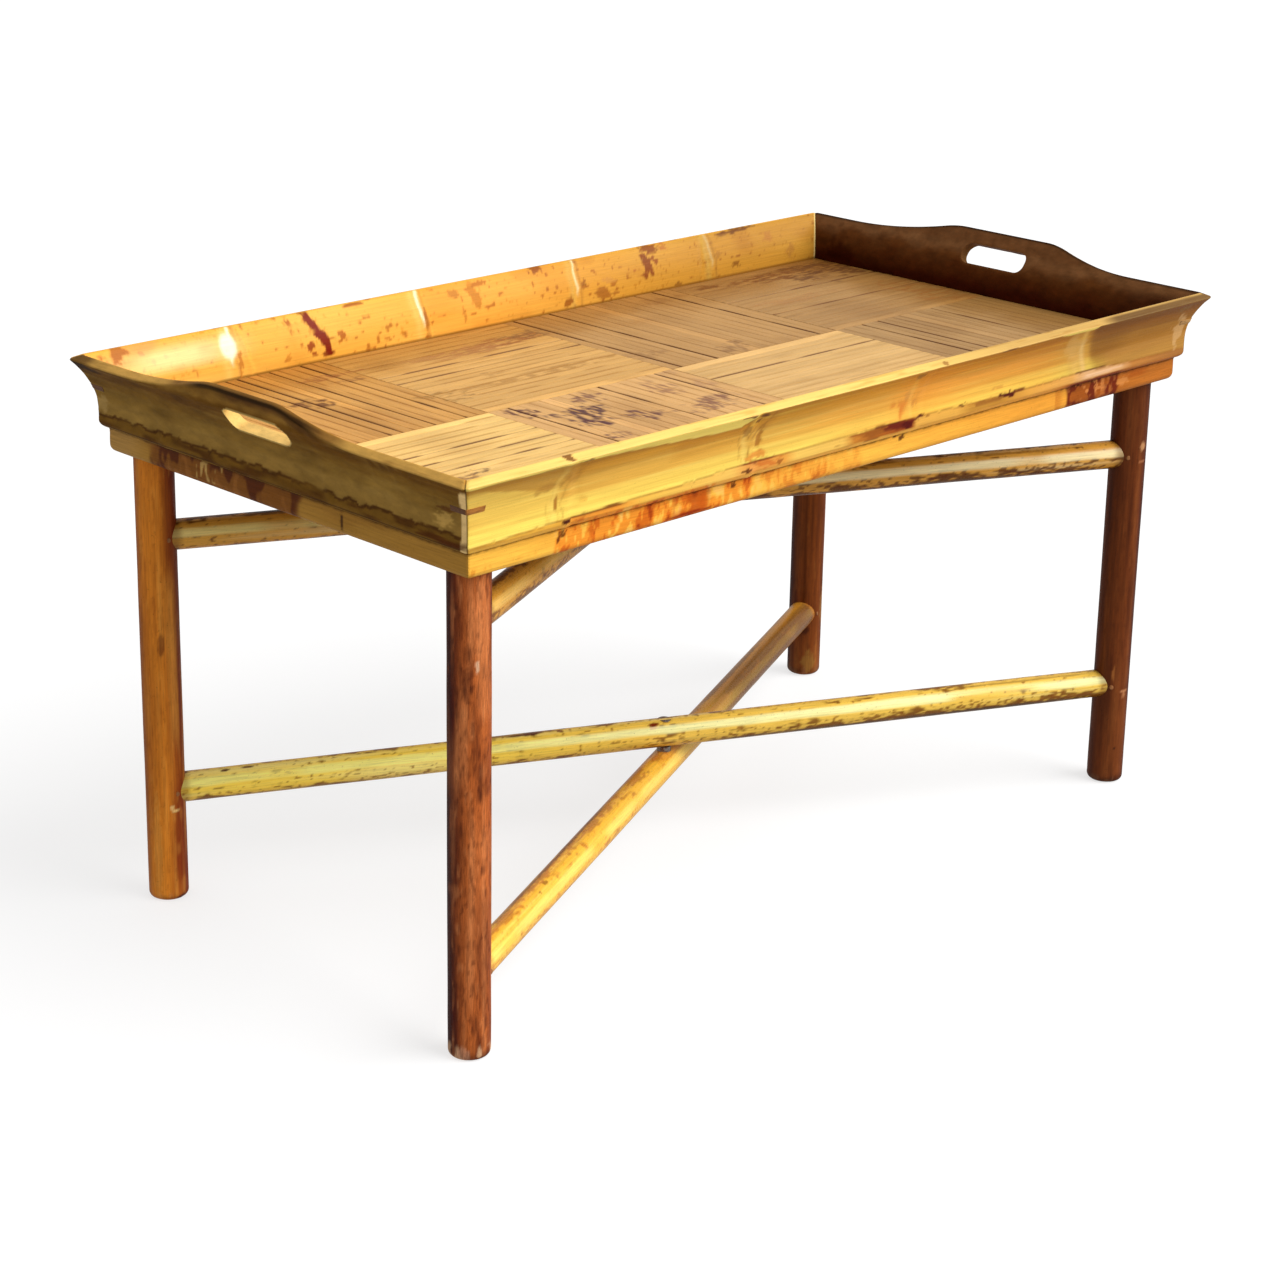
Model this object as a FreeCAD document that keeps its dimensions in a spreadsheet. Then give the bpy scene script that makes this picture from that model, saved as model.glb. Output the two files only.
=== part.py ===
import FreeCAD, Part
import math
import os
import Sketcher

# Bamboo coffee table: a lift-off tray with flared sides, standing on two round-rod frames
# that cross at the middle and fold together like scissors about a vertical axis.
# Millimetres. X runs along the length, Y to the back, Z up; the origin is on the floor under the middle.

DRIVING_SIZES = {
    # tray outline, measured over the outer edge of the lip
    "rim_length": "914",
    "rim_width": "492",
    # stand
    "stand_height": "398",
    "leg_end_inset": "48",
    "leg_side_inset": "50",
    "leg_radius": "17.25",
    "foot_round": "5",
    "leg_top_round": "1.5",
    "rod_radius": "13.5",
    "rod_clearance": "3",
    "lower_rod_lift": "68.5",
    "upper_rod_drop": "42",
    "tenon_radius": "7.5",
    "tenon_fit": "0.05",
    "socket_depth": "20",
    "tenon_end_gap": "0.4",
    "peg_radius": "2.2",
    "peg_recess": "0.3",
    # pivots where the rods cross
    "bolt_radius": "3",
    "bolt_fit": "0.05",
    "bolt_head_radius": "6",
    "bolt_head_thickness": "4",
    "bolt_head_recess": "5",
    "nut_corner_radius": "5.8",
    "nut_thickness": "5",
    "nut_recess": "5.5",
    "hardware_room": "0.6",
    "washer_radius": "6.5",
    "washer_seat": "1",
    "running_gap": "0.3",
    # skirt under the tray
    "skirt_inset": "23",
    "skirt_height": "21",
    "skirt_thickness": "12",
    "skirt_tongue_fit": "0.2",
    "skirt_round": "6",
    "corner_block_width": "36",
    "corner_block_cut": "14",
    # tray sides
    "side_height": "57.5",
    "side_inset": "17",
    "side_thickness": "10",
    "side_foot_round": "6",
    "flare_rise": "40.5",
    "lip_width": "9.5",
    "lip_rise": "4.5",
    "groove_depth": "4",
    "panel_end_gap": "0.3",
    # tray floor
    "floor_lift": "19",
    "panel_thickness": "6",
    "slat_thickness": "4",
    "slat_gap": "0.3",
    "slat_round": "0.7",
    # handles of the two ends; they are sawn by hand, so each ramp has its own reach from the middle
    "handle_rise": "16.5",
    "handle_top_thickness": "5.5",
    "left_handle_back_top": "42",
    "left_handle_back_foot": "185",
    "left_handle_front_top": "26",
    "left_handle_front_foot": "130",
    "right_handle_back_top": "44",
    "right_handle_back_foot": "190",
    "right_handle_front_top": "55",
    "right_handle_front_foot": "160",
    "slot_length": "76",
    "slot_height": "21",
    "slot_corner": "9",
    "slot_drop": "9",
    # mitre keys
    "key_thickness": "5",
    "key_drop": "22.5",
    "key_reach": "17.5",
    # overrun of every cut past the material
    "overrun": "10",
}
COUNTS = {
    "nut_sides": "6",
    "slats_per_block": "19",
    "blocks_along": "4",
    "blocks_across": "2",
}
SHARES = {
    # part of a handle's ramp, in length and in rise, that its rounded shoulder takes
    "shoulder_share": "0.18",
}

doc = FreeCAD.newDocument("BambooTrayTable")
sheet = doc.addObject("Spreadsheet::Sheet", "Sizes")
for row, (alias, text) in enumerate({**DRIVING_SIZES, **COUNTS, **SHARES}.items(), start=1):
    sheet.set(f"A{row}", alias)
    sheet.set(f"B{row}", text)
    sheet.setAlias(f"B{row}", alias)
doc.recompute()

NO_TURN = "0 deg"
QUARTER_TURN = "90 deg"
HALF_TURN = "180 deg"
THREE_QUARTER_TURN = "270 deg"
ALONG_X = FreeCAD.Vector(1, 0, 0)
ALONG_Y = FreeCAD.Vector(0, 1, 0)
VERTICAL = FreeCAD.Vector(0, 0, 1)

# Heights above the floor, and half sizes, worked out from the sheet
HALF_LENGTH = "Sizes.rim_length / 2"
HALF_WIDTH = "Sizes.rim_width / 2"
SIDE_BOTTOM = "(Sizes.stand_height + Sizes.skirt_height)"
RIM = f"({SIDE_BOTTOM} + Sizes.side_height)"
FLARE_START = f"({RIM} - Sizes.flare_rise)"
FLOOR_TOP = f"({SIDE_BOTTOM} + Sizes.floor_lift)"
PANEL_TOP = f"({FLOOR_TOP} - Sizes.slat_thickness)"
PANEL_BOTTOM = f"({PANEL_TOP} - Sizes.panel_thickness)"
LIP_TOP = f"({RIM} + Sizes.lip_rise)"
WALL_DEPTH = "(Sizes.side_inset + Sizes.side_thickness)"
FLOOR_LENGTH = f"(Sizes.rim_length - 2 * {WALL_DEPTH})"
FLOOR_WIDTH = f"(Sizes.rim_width - 2 * {WALL_DEPTH})"
SKIRT_INNER_INSET = "(Sizes.skirt_inset + Sizes.skirt_thickness)"

# The flare is an arc that leaves the upright wall without a kink and ends at the lip
FLARE_RADIUS = "((Sizes.side_inset ^ 2 + Sizes.flare_rise ^ 2) / (2 * Sizes.side_inset))"
INNER_FLARE_RISE = f"({LIP_TOP} - {FLOOR_TOP})"
INNER_FLARE_INSET = f"({WALL_DEPTH} - Sizes.lip_width)"
INNER_FLARE_RADIUS = f"(({INNER_FLARE_INSET} ^ 2 + {INNER_FLARE_RISE} ^ 2) / (2 * {INNER_FLARE_INSET}))"
LIP_LENGTH = "sqrt(Sizes.lip_width ^ 2 + Sizes.lip_rise ^ 2)"
LIP_TILT = "atan(Sizes.lip_rise / Sizes.lip_width)"

# The frames stand on the diagonals of the leg rectangle; where they cross, one frame's rod passes
# over the other's with a small clearance
LEG_X = f"({HALF_LENGTH} - Sizes.leg_end_inset)"
LEG_Y = f"({HALF_WIDTH} - Sizes.leg_side_inset)"
HALF_DIAGONAL = f"sqrt({LEG_X} ^ 2 + {LEG_Y} ^ 2)"
DIAGONAL_ANGLE = f"atan({LEG_Y} / {LEG_X})"
ROD_STEP = "(2 * Sizes.rod_radius + Sizes.rod_clearance)"
PEG_OFFSET = "(Sizes.leg_radius - Sizes.socket_depth / 2)"

finished = []


def number(expression):
    """Present value of an expression in the sheet's sizes."""
    return float(sheet.evalExpression(expression))


def bind(target, **bindings):
    """Binds properties to expressions; a double underscore in a name stands for a dot."""
    for name, expression in bindings.items():
        target.setExpression(name.replace("__", "."), expression)


def keep(piece, label):
    """Names a finished piece; the label is the name of its file."""
    piece.Label = label
    finished.append(piece)
    return piece


def new_body(label):
    return keep(doc.addObject("PartDesign::Body", label), label)


def origin_feature(body, role):
    return [feature for feature in body.Origin.OriginFeatures if feature.Role == role][0]


def new_sketch(body, plane, name):
    sketch = body.newObject("Sketcher::SketchObject", name)
    sketch.AttachmentSupport = [(origin_feature(body, plane), "")]
    sketch.MapMode = "FlatFace"
    return sketch


def place_point(sketch, geometry, end, x, y):
    """Holds one end of a line or arc at a place given by two expressions."""
    for kind, expression in (("DistanceX", x), ("DistanceY", y)):
        index = sketch.addConstraint(
            Sketcher.Constraint(kind, -1, 1, geometry, end, number(expression)))
        sketch.setExpression(f"Constraints[{index}]", expression)


def draw_circle(sketch, x, y, radius):
    centre = FreeCAD.Vector(number(x), number(y), 0)
    circle = sketch.addGeometry(Part.Circle(centre, VERTICAL, number(radius)))
    place_point(sketch, circle, 3, x, y)
    index = sketch.addConstraint(Sketcher.Constraint("Radius", circle, number(radius)))
    sketch.setExpression(f"Constraints[{index}]", radius)


def draw_outline(sketch, stops):
    """Closed outline. A stop (x, y) ends a straight run and a stop (x, y, radius, turn) ends an arc,
    whose centre lies to the left of the run where turn is 1 and to the right where it is -1."""
    points = [FreeCAD.Vector(number(stop[0]), number(stop[1]), 0) for stop in stops]
    runs = []
    for place, stop in enumerate(stops):
        start = points[place - 1]
        end = points[place]
        if len(stop) == 2:
            runs.append((sketch.addGeometry(Part.LineSegment(start, end)), 1, 2))
            continue
        radius = number(stop[2])
        turn = stop[3]
        chord = end - start
        height = math.sqrt(max(radius ** 2 - chord.Length ** 2 / 4, 0))
        left = VERTICAL.cross(chord).normalize()
        centre = (start + end) * 0.5 + left * (height * turn)
        first, last = (start, end) if turn > 0 else (end, start)
        angles = [math.atan2((p - centre).y, (p - centre).x) for p in (first, last)]
        arc = sketch.addGeometry(
            Part.ArcOfCircle(Part.Circle(centre, VERTICAL, radius), angles[0], angles[1]))
        index = sketch.addConstraint(Sketcher.Constraint("Radius", arc, radius))
        sketch.setExpression(f"Constraints[{index}]", stop[2])
        runs.append((arc, 1, 2) if turn > 0 else (arc, 2, 1))
    for place, (geometry, start_end, finish_end) in enumerate(runs):
        following, following_start, _ = runs[(place + 1) % len(runs)]
        sketch.addConstraint(
            Sketcher.Constraint("Coincident", geometry, finish_end, following, following_start))
        place_point(sketch, geometry, finish_end, stops[place][0], stops[place][1])


def pad(body, sketch, length, name, symmetric=False, reverse=False):
    feature = body.newObject("PartDesign::Pad", name)
    feature.Profile = sketch
    feature.SideType = "Symmetric" if symmetric else "One side"
    feature.Reversed = reverse
    bind(feature, Length=length)
    return feature


def pocket(body, sketch, name, length=None, symmetric=False, reverse=False):
    """Cuts along the sketch, through everything where no length is given."""
    before = body.Shape.Volume
    feature = body.newObject("PartDesign::Pocket", name)
    feature.Profile = sketch
    feature.SideType = "Symmetric" if symmetric else "One side"
    feature.Reversed = reverse
    if length is None:
        feature.Type = "ThroughAll"
    else:
        feature.Type = "Length"
        bind(feature, Length=length)
    doc.recompute()
    if not body.Shape.Volume < before:
        raise RuntimeError(f"{body.Label}: {name} cuts nothing")
    return feature


def turn_piece(piece, angle, x="0", y="0", z="0"):
    """Stands a piece at a place, turned about the vertical."""
    piece.Placement = FreeCAD.Placement(FreeCAD.Vector(0, 0, 0), FreeCAD.Rotation(VERTICAL, 1))
    bind(piece, Placement__Rotation__Angle=angle, Placement__Base__x=x, Placement__Base__y=y,
         Placement__Base__z=z)


def edges_at_height(shape, height):
    """Names of the edges that lie level at one height."""
    tolerance = shape.BoundBox.DiagonalLength * 1e-6
    names = []
    for place, edge in enumerate(shape.Edges, start=1):
        box = edge.BoundBox
        if abs(box.ZMin - height) < tolerance and abs(box.ZMax - height) < tolerance:
            names.append(f"Edge{place}")
    return names


def cut_mitres(body, reach, span, depth, name):
    """Cuts both ends of a board at 45 degrees, from its outer corner inwards."""
    sketch = new_sketch(body, "XY_Plane", f"{name}_sketch")
    for side in ("", "-"):
        draw_outline(sketch, [
            (f"{side}({span} - {depth})", f"{reach} - {depth}"),
            (f"{side}({span} + Sizes.overrun)", f"{reach} + Sizes.overrun"),
            (f"{side}({span} + Sizes.overrun)", f"{reach} - {depth}"),
        ])
    pocket(body, sketch, name, symmetric=True)


def key_inset(height):
    """How far the outer face of a side lies inside the lip's edge at a height on the flare."""
    return (f"(Sizes.side_inset - {FLARE_RADIUS}"
            f" + sqrt({FLARE_RADIUS} ^ 2 - ({height} - {FLARE_START}) ^ 2))")


KEY_BOTTOM = f"({RIM} - Sizes.key_drop - Sizes.key_thickness / 2)"
KEY_TOP = f"({RIM} - Sizes.key_drop + Sizes.key_thickness / 2)"
KEY_BACK = f"(2 * {key_inset(f'({RIM} - Sizes.key_drop)')} + Sizes.key_reach)"


# Tray sides: split bamboo boards, upright at the foot and flared to the lip, mitred at the corners.
# Each is drawn with its outer face to +Y and turned to its place; a groove holds the floor panel.
def make_side(label, reach, span, angle):
    body = new_body(label)
    section = new_sketch(body, "YZ_Plane", f"{label}_section")
    draw_outline(section, [
        (f"{reach} - {WALL_DEPTH}", SIDE_BOTTOM),
        (f"{reach} - Sizes.side_inset - Sizes.side_foot_round", SIDE_BOTTOM),
        (f"{reach} - Sizes.side_inset", f"{SIDE_BOTTOM} + Sizes.side_foot_round",
         "Sizes.side_foot_round", 1),
        (f"{reach} - Sizes.side_inset", FLARE_START),
        (reach, RIM, FLARE_RADIUS, -1),
        (f"{reach} - Sizes.lip_width", LIP_TOP),
        (f"{reach} - {WALL_DEPTH}", FLOOR_TOP, INNER_FLARE_RADIUS, 1),
        (f"{reach} - {WALL_DEPTH}", PANEL_TOP),
        (f"{reach} - {WALL_DEPTH} + Sizes.groove_depth", PANEL_TOP),
        (f"{reach} - {WALL_DEPTH} + Sizes.groove_depth", PANEL_BOTTOM),
        (f"{reach} - {WALL_DEPTH}", PANEL_BOTTOM),
    ])
    pad(body, section, f"2 * ({span})", f"{label}_board", symmetric=True)
    doc.recompute()
    cut_mitres(body, reach, span, f"({WALL_DEPTH} + Sizes.overrun)", f"{label}_mitres")
    kerf = new_sketch(body, "XY_Plane", f"{label}_kerf")
    bind(kerf, AttachmentOffset__Base__z=KEY_BOTTOM)
    for side in ("", "-"):
        draw_outline(kerf, [
            (f"{side}({span} + Sizes.overrun)", f"{reach} + Sizes.overrun"),
            (f"{side}({span} - {KEY_BACK} - Sizes.overrun)", f"{reach} + Sizes.overrun"),
            (f"{side}({span} + Sizes.overrun)", f"{reach} - {KEY_BACK} - Sizes.overrun"),
        ])
    pocket(body, kerf, f"{label}_kerfs", length="Sizes.key_thickness", reverse=True)
    turn_piece(body, angle)
    return body


# The two ends rise to a handle in the middle. It stands square on the sloping lip, so its outline is
# drawn on a plane through the lip's inner edge, tilted outwards, and the hand slot is cut through it.
def lip_sketch(body, reach, name):
    sketch = new_sketch(body, "XZ_Plane", name)
    sketch.AttachmentOffset = FreeCAD.Placement(FreeCAD.Vector(0, 0, 0), FreeCAD.Rotation(ALONG_X, -1))
    bind(sketch, AttachmentOffset__Rotation__Angle=f"-({LIP_TILT})", AttachmentOffset__Base__y=LIP_TOP,
         AttachmentOffset__Base__z=f"Sizes.lip_width - {reach}")
    return sketch


SHOULDER_DROP = "(Sizes.handle_rise * Sizes.shoulder_share)"
RAMP_FOOT_RISE = f"(Sizes.handle_rise - {SHOULDER_DROP})"


def ramp_curves(top, foot):
    """A ramp's shoulder and its foot are arcs without a kink: where they meet, and their radii."""
    shoulder_run = f"(({foot} - {top}) * Sizes.shoulder_share)"
    foot_run = f"({foot} - {top} - {shoulder_run})"
    shoulder_radius = f"(({shoulder_run} ^ 2 + {SHOULDER_DROP} ^ 2) / (2 * {SHOULDER_DROP}))"
    foot_radius = f"(({foot_run} ^ 2 + {RAMP_FOOT_RISE} ^ 2) / (2 * {RAMP_FOOT_RISE}))"
    return f"({top} + {shoulder_run})", shoulder_radius, foot_radius


def add_handle(body, reach, ahead_top, ahead_foot, behind_top, behind_foot):
    """Adds a handle to a side as drawn; ahead is towards +X there, behind towards -X."""
    ahead_meet, ahead_shoulder, ahead_hollow = ramp_curves(ahead_top, ahead_foot)
    behind_meet, behind_shoulder, behind_hollow = ramp_curves(behind_top, behind_foot)
    outline = lip_sketch(body, reach, f"{body.Label}_handle_outline")
    draw_outline(outline, [
        (ahead_foot, "0"),
        (ahead_meet, RAMP_FOOT_RISE, ahead_hollow, -1),
        (ahead_top, "Sizes.handle_rise", ahead_shoulder, 1),
        (f"-{behind_top}", "Sizes.handle_rise"),
        (f"-{behind_meet}", RAMP_FOOT_RISE, behind_shoulder, 1),
        (f"-{behind_foot}", "0", behind_hollow, -1),
    ])
    pad(body, outline, LIP_LENGTH, f"{body.Label}_handle", reverse=True)
    doc.recompute()
    # its outer face is planed back from the lip's outer edge to a thinner top
    run = (f"(Sizes.handle_rise * sin({LIP_TILT}) + Sizes.handle_top_thickness * cos({LIP_TILT})"
           f" - Sizes.lip_width)")
    rise = (f"(Sizes.handle_rise * cos({LIP_TILT}) - Sizes.handle_top_thickness * sin({LIP_TILT})"
            f" + Sizes.lip_rise)")
    planed = new_sketch(body, "YZ_Plane", f"{body.Label}_planed_section")
    draw_outline(planed, [
        (reach, RIM),
        (f"{reach} + 2 * {run} + Sizes.overrun", RIM),
        (f"{reach} + 2 * {run}", f"{RIM} + 2 * {rise}"),
    ])
    pocket(body, planed, f"{body.Label}_planed", symmetric=True)
    slot = lip_sketch(body, reach, f"{body.Label}_slot_outline")
    half = "Sizes.slot_length / 2"
    low = "(-Sizes.slot_drop - Sizes.slot_height / 2)"
    high = "(-Sizes.slot_drop + Sizes.slot_height / 2)"
    corner = "Sizes.slot_corner"
    draw_outline(slot, [
        (f"{half} - {corner}", low),
        (half, f"{low} + {corner}", corner, 1),
        (half, f"{high} - {corner}"),
        (f"{half} - {corner}", high, corner, 1),
        (f"-({half} - {corner})", high),
        (f"-({half})", f"{high} - {corner}", corner, 1),
        (f"-({half})", f"{low} + {corner}"),
        (f"-({half} - {corner})", low, corner, 1),
    ])
    pocket(body, slot, f"{body.Label}_slot", symmetric=True)


make_side("back_side", HALF_WIDTH, HALF_LENGTH, NO_TURN)
make_side("front_side", HALF_WIDTH, HALF_LENGTH, HALF_TURN)
left_end = make_side("left_end", HALF_LENGTH, HALF_WIDTH, QUARTER_TURN)
add_handle(left_end, HALF_LENGTH, "Sizes.left_handle_back_top", "Sizes.left_handle_back_foot",
           "Sizes.left_handle_front_top", "Sizes.left_handle_front_foot")
right_end = make_side("right_end", HALF_LENGTH, HALF_WIDTH, THREE_QUARTER_TURN)
add_handle(right_end, HALF_LENGTH, "Sizes.right_handle_front_top", "Sizes.right_handle_front_foot",
           "Sizes.right_handle_back_top", "Sizes.right_handle_back_foot")


# Mitre keys: thin hardwood wedges glued into a kerf across each corner and trimmed to the flare
def make_corner_keys():
    body = new_body("corner_keys")
    levels = []
    for name, height in (("low", KEY_BOTTOM), ("high", KEY_TOP)):
        inset = key_inset(height)
        sketch = new_sketch(body, "XY_Plane", f"corner_key_{name}")
        bind(sketch, AttachmentOffset__Base__z=height)
        draw_outline(sketch, [
            (f"{HALF_LENGTH} - {inset}", f"{HALF_WIDTH} - {inset}"),
            (f"{HALF_LENGTH} - {KEY_BACK} + {inset}", f"{HALF_WIDTH} - {inset}"),
            (f"{HALF_LENGTH} - {inset}", f"{HALF_WIDTH} - {KEY_BACK} + {inset}"),
        ])
        levels.append(sketch)
    wedge = body.newObject("PartDesign::AdditiveLoft", "corner_key")
    wedge.Profile = levels[0]
    wedge.Sections = [levels[1]]
    wedge.Ruled = True
    doc.recompute()
    copies = body.newObject("PartDesign::MultiTransform", "four_corners")
    copies.Originals = [wedge]
    mirrors = []
    for name, plane in (("left_and_right", "YZ_Plane"), ("front_and_back", "XZ_Plane")):
        mirror = body.newObject("PartDesign::Mirrored", name)
        mirror.MirrorPlane = (origin_feature(body, plane), [""])
        mirrors.append(mirror)
    copies.Transformations = mirrors
    body.Tip = copies
    doc.recompute()


make_corner_keys()


# Skirt: four mitred boards under the tray. Each has a tongue inside the side's foot that carries the panel.
def make_skirt(label, reach, span, angle):
    body = new_body(label)
    outer = f"({reach} - Sizes.skirt_inset)"
    inner = f"({reach} - {SKIRT_INNER_INSET})"
    shoulder = f"({reach} - {WALL_DEPTH} - Sizes.skirt_tongue_fit)"
    section = new_sketch(body, "YZ_Plane", f"{label}_section")
    draw_outline(section, [
        (inner, "Sizes.stand_height"),
        (f"{outer} - Sizes.skirt_round", "Sizes.stand_height"),
        (outer, "Sizes.stand_height + Sizes.skirt_round", "Sizes.skirt_round", 1),
        (outer, SIDE_BOTTOM),
        (shoulder, SIDE_BOTTOM),
        (shoulder, PANEL_BOTTOM),
        (inner, PANEL_BOTTOM),
    ])
    pad(body, section, f"2 * ({span} - Sizes.skirt_inset)", f"{label}_board", symmetric=True)
    doc.recompute()
    cut_mitres(body, outer, f"({span} - Sizes.skirt_inset)",
               "(Sizes.skirt_thickness + Sizes.overrun)", f"{label}_mitres")
    turn_piece(body, angle)


make_skirt("back_skirt", HALF_WIDTH, HALF_LENGTH, NO_TURN)
make_skirt("front_skirt", HALF_WIDTH, HALF_LENGTH, HALF_TURN)
make_skirt("left_skirt", HALF_LENGTH, HALF_WIDTH, QUARTER_TURN)
make_skirt("right_skirt", HALF_LENGTH, HALF_WIDTH, THREE_QUARTER_TURN)


# Corner blocks: glued inside the skirt, level with its lower edge, so that the leg tops carry them
def make_corner_block(label, x_sign, y_sign, angle):
    body = new_body(label)
    width = "Sizes.corner_block_width"
    cut = "Sizes.corner_block_cut"
    outline = new_sketch(body, "XY_Plane", f"{label}_outline")
    draw_outline(outline, [
        ("0", "0"),
        (f"-{width}", "0"),
        (f"-{width}", f"-{width} + {cut}"),
        (f"-{width} + {cut}", f"-{width}"),
        ("0", f"-{width}"),
    ])
    pad(body, outline, f"{PANEL_BOTTOM} - Sizes.stand_height", f"{label}_blank")
    turn_piece(body, angle, x=f"{x_sign}({HALF_LENGTH} - {SKIRT_INNER_INSET})",
               y=f"{y_sign}({HALF_WIDTH} - {SKIRT_INNER_INSET})", z="Sizes.stand_height")


make_corner_block("back_right_corner_block", "", "", NO_TURN)
make_corner_block("back_left_corner_block", "-", "", QUARTER_TURN)
make_corner_block("front_left_corner_block", "-", "-", HALF_TURN)
make_corner_block("front_right_corner_block", "", "-", THREE_QUARTER_TURN)


# Floor panel: plywood held in the grooves of the sides
def make_floor_panel():
    panel = keep(doc.addObject("Part::Box", "floor_panel"), "floor_panel")
    grip = "2 * (Sizes.groove_depth - Sizes.panel_end_gap)"
    length = f"({FLOOR_LENGTH} + {grip})"
    width = f"({FLOOR_WIDTH} + {grip})"
    bind(panel, Length=length, Width=width, Height="Sizes.panel_thickness",
         Placement__Base__x=f"-{length} / 2", Placement__Base__y=f"-{width} / 2",
         Placement__Base__z=PANEL_BOTTOM)


make_floor_panel()


# Floor slats: square blocks of split slats with eased edges, laid by turns along and across the tray
def make_slat_block(label, run, spread, x, y, angle):
    body = new_body(label)
    pitch = f"({spread} / Sizes.slats_per_block)"
    near = f"(-({spread}) / 2 + Sizes.slat_gap / 2)"
    far = f"({near} + {pitch} - Sizes.slat_gap)"
    top = "Sizes.slat_thickness"
    ease = "Sizes.slat_round"
    section = new_sketch(body, "YZ_Plane", f"{label}_section")
    draw_outline(section, [
        (near, "0"),
        (far, "0"),
        (far, f"{top} - {ease}"),
        (f"{far} - {ease}", top, ease, 1),
        (f"{near} + {ease}", top),
        (near, f"{top} - {ease}", ease, 1),
    ])
    slat = pad(body, section, f"{run} - Sizes.slat_gap", f"{label}_slat", symmetric=True)
    doc.recompute()
    row = body.newObject("PartDesign::LinearPattern", f"{label}_row")
    row.Originals = [slat]
    row.Direction = (origin_feature(body, "Y_Axis"), [""])
    bind(row, Length=f"{spread} - {pitch}", Occurrences="Sizes.slats_per_block")
    body.Tip = row
    turn_piece(body, angle, x=x, y=y, z=PANEL_TOP)


BLOCK_LENGTH = f"({FLOOR_LENGTH} / Sizes.blocks_along)"
BLOCK_WIDTH = f"({FLOOR_WIDTH} / Sizes.blocks_across)"
BLOCK_ROWS = ("front", "back")
for across, row_name in enumerate(BLOCK_ROWS[:int(COUNTS["blocks_across"])]):
    for along in range(int(COUNTS["blocks_along"])):
        x = f"({along} + 1/2) * {BLOCK_LENGTH} - {FLOOR_LENGTH} / 2"
        y = f"({across} + 1/2) * {BLOCK_WIDTH} - {FLOOR_WIDTH} / 2"
        name = f"{row_name}_slats_{along + 1}"
        if (along + across) % 2 == 0:
            make_slat_block(name, BLOCK_LENGTH, BLOCK_WIDTH, x, y, NO_TURN)
        else:
            make_slat_block(name, BLOCK_WIDTH, BLOCK_LENGTH, x, y, QUARTER_TURN)


# Legs: round poles, drawn with the rods arriving from +X, with blind sockets for the rods' tenons
# and cross holes for the pegs that lock them
def make_leg(label, lower, upper, x, y, angle):
    body = new_body(label)
    circle = new_sketch(body, "XY_Plane", f"{label}_circle")
    draw_circle(circle, "0", "0", "Sizes.leg_radius")
    pole = pad(body, circle, "Sizes.stand_height", f"{label}_pole")
    doc.recompute()
    for name, height, radius in (("foot", "0", "Sizes.foot_round"),
                                 ("top", "Sizes.stand_height", "Sizes.leg_top_round")):
        rounding = body.newObject("PartDesign::Fillet", f"{label}_{name}_round")
        rounding.Base = (pole, edges_at_height(pole.Shape, number(height)))
        bind(rounding, Radius=radius)
        doc.recompute()
        pole = rounding
    sockets = new_sketch(body, "YZ_Plane", f"{label}_socket_circles")
    bind(sockets, AttachmentOffset__Base__z="Sizes.leg_radius - Sizes.socket_depth")
    holes = new_sketch(body, "XZ_Plane", f"{label}_peg_circles")
    for height in (lower, upper):
        draw_circle(sockets, "0", height, "Sizes.tenon_radius + Sizes.tenon_fit")
        draw_circle(holes, PEG_OFFSET, height, "Sizes.peg_radius + Sizes.tenon_fit")
    pocket(body, sockets, f"{label}_sockets", reverse=True)
    pocket(body, holes, f"{label}_peg_holes", symmetric=True)
    turn_piece(body, angle, x=x, y=y)


# Rods: round rods with coped ends that lie against the legs, a round tenon at each end, and at the
# middle a bolt hole, a recess for the bolt's head or nut on one face and a washer seat on the other
def make_rod(label, height, angle, recess, recess_above):
    body = new_body(label)
    round_section = new_sketch(body, "YZ_Plane", f"{label}_circle")
    draw_circle(round_section, "0", "0", "Sizes.rod_radius")
    pad(body, round_section, f"2 * {HALF_DIAGONAL}", f"{label}_round", symmetric=True)
    doc.recompute()
    copes = new_sketch(body, "XY_Plane", f"{label}_cope_circles")
    for side in ("", "-"):
        draw_circle(copes, f"{side}{HALF_DIAGONAL}", "0", "Sizes.leg_radius")
    pocket(body, copes, f"{label}_copes", symmetric=True)
    tenon = new_sketch(body, "YZ_Plane", f"{label}_tenon_circle")
    draw_circle(tenon, "0", "0", "Sizes.tenon_radius")
    tenon_reach = f"({HALF_DIAGONAL} - Sizes.leg_radius + Sizes.socket_depth - Sizes.tenon_end_gap)"
    pad(body, tenon, f"2 * {tenon_reach}", f"{label}_tenons", symmetric=True)
    doc.recompute()
    holes = new_sketch(body, "XZ_Plane", f"{label}_peg_circles")
    for side in ("", "-"):
        draw_circle(holes, f"{side}({HALF_DIAGONAL} - {PEG_OFFSET})", "0",
                    "Sizes.peg_radius + Sizes.tenon_fit")
    pocket(body, holes, f"{label}_peg_holes", symmetric=True)
    bore = new_sketch(body, "XY_Plane", f"{label}_bolt_circle")
    draw_circle(bore, "0", "0", "Sizes.bolt_radius + Sizes.bolt_fit")
    pocket(body, bore, f"{label}_bolt_hole", symmetric=True)
    for name, radius, depth, above in (
            ("recess", "Sizes.bolt_head_radius + Sizes.hardware_room", recess, recess_above),
            ("washer_seat", "Sizes.washer_radius + Sizes.hardware_room", "Sizes.washer_seat",
             not recess_above)):
        seat = new_sketch(body, "XY_Plane", f"{label}_{name}_circle")
        floor = f"Sizes.rod_radius - {depth}"
        bind(seat, AttachmentOffset__Base__z=floor if above else f"-({floor})")
        draw_circle(seat, "0", "0", radius)
        pocket(body, seat, f"{label}_{name}", reverse=above)
    turn_piece(body, angle, z=height)


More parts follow.
